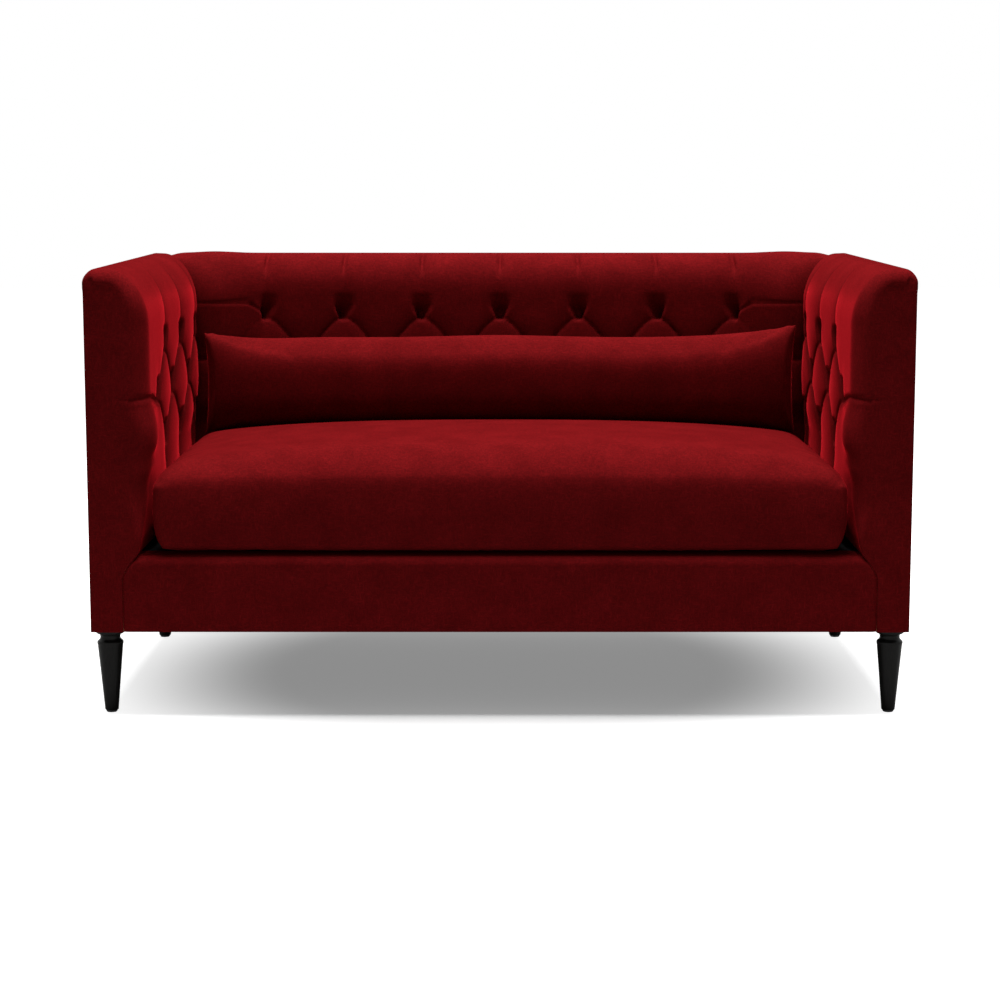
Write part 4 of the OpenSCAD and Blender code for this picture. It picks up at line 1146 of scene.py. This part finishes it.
# %% Foam block and fibre insert
foam_low, foam_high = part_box("seat_foam")
block = eased_block("seat_foam_block", foam_low, foam_high, 9 * mm, 5)
finish(block, "seat_cushion", foam, ["seat_foam"], angle=math.radians(40))

insert = start_pillow("pillow_fibre_insert", 48, 12)
move_points(insert, pillow_form(insert, 14 * mm))
finish(insert, "lumbar_pillow", fibre, ["pillow_insert"])

# %% [markdown]
# ## The deck and the dust cover
# The seat cushion lies on a dark cloth stretched over felt and springs, and a thin black cloth
# closes the frame from below. Both are sheets, cut to size and tacked along their edges. The deck
# cloth dips a little between the springs, and the dust cover is cut round the four legs.

# %% Deck cloth
def make_sheet(name, node, thickness, ripple, cuts):
    low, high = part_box(node)
    bpy.ops.mesh.primitive_grid_add(x_subdivisions=cuts[0], y_subdivisions=cuts[1], size=1)
    cloth = started(name)
    points = points_of(cloth)
    x, y = points[:, 0].copy(), points[:, 1].copy()
    points[:, 0] = (low.x + high.x) / 2 + x * (high.x - low.x)
    points[:, 1] = (low.y + high.y) / 2 + y * (high.y - low.y)
    edge = smooth((0.5 - np.abs(x)) / 0.05) * smooth((0.5 - np.abs(y)) / 0.08)
    points[:, 2] = high.z - ripple * edge * (0.5 + 0.5 * np.sin(x * 12 * 2 * np.pi))
    move_points(cloth, points)
    modify(cloth, "SOLIDIFY", thickness=thickness, offset=-1)
    return cloth, (high.x - low.x, high.y - low.y)


deck, flat = make_sheet("deck_cloth_sheet", "deck_cloth", 1 * mm, 1.2 * mm, (120, 40))
finish(deck, "frame", black_cloth, ["deck_cloth"])

# %% Dust cover, cut round the legs
leg_names = ("front_left_leg", "front_right_leg", "rear_left_leg", "rear_right_leg")
leg_places = [tuple(round(float(c), 4) for c in (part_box(n)[0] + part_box(n)[1]) / 2)[:2]
              for n in leg_names]
dust, flat = make_sheet("dust_cover_sheet", "dust_cover", 0.8 * mm, 0, (90, 50))
collar_r = (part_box("front_left_leg")[1].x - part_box("front_left_leg")[0].x) / 2
cut_r = collar_r + 2 * mm
for x, y in leg_places:
    bpy.ops.mesh.primitive_cylinder_add(vertices=48, radius=cut_r, depth=40 * mm,
                                        location=(x, y, frame_z))
    cutter = bpy.context.object
    modify(dust, "BOOLEAN", object=cutter, operation="DIFFERENCE", solver="EXACT")
    only(cutter)
    bpy.ops.object.delete()
finish(dust, "frame", black_cloth, ["dust_cover"], angle=math.radians(30))

# %% [markdown]
# ## The legs
# A wood turner cuts a leg from a square blank on a lathe: a collar under the frame, a narrow neck,
# a rounded shoulder and a long straight taper. Here a disc is extruded up step by step, and each
# step is resized to the radius that the turner would leave there.

# %% Turn one leg
leg_profile = [  # radius and height in mm
    (11.9, 4.0), (12.5, 4.6), (12.7, 6.0), (18.6, 74.0), (23.6, 128.5), (24.3, 131.5),
    (24.5, 133.4), (24.2, 135.2), (23.2, 136.6), (21.6, 138.0), (20.2, 139.2), (19.2, 140.8),
    (18.7, 142.6), (18.6, 144.6), (18.9, 146.6), (19.8, 148.4), (21.4, 149.8), (22.4, 150.3),
    (22.6, 150.9), (24.6, 151.0), (25.5, 151.6), (26.0, 152.8), (26.0, 160.0),
]


def turn_leg(name, x, y, node):
    radius, height = leg_profile[0]
    bpy.ops.mesh.primitive_circle_add(vertices=64, radius=radius * mm, fill_type="NGON",
                                      location=(x, y, height * mm))
    leg = started(name)
    settle(leg)
    edit(leg, "ALL")
    for new_radius, new_height in leg_profile[1:]:
        bpy.ops.mesh.extrude_region_move(
            TRANSFORM_OT_translate={"value": (0, 0, (new_height - height) * mm)})
        k = new_radius / radius
        bpy.ops.transform.resize(value=(k, k, 1), center_override=(x, y, new_height * mm))
        radius, height = new_radius, new_height
    bpy.ops.mesh.select_all(action="SELECT")
    bpy.ops.mesh.normals_make_consistent(inside=False)
    finish(leg, "frame", lacquer, [node], angle=math.radians(50))


for (x, y), node in zip(leg_places, leg_names):
    turn_leg(node + "_turned", x, y, node)
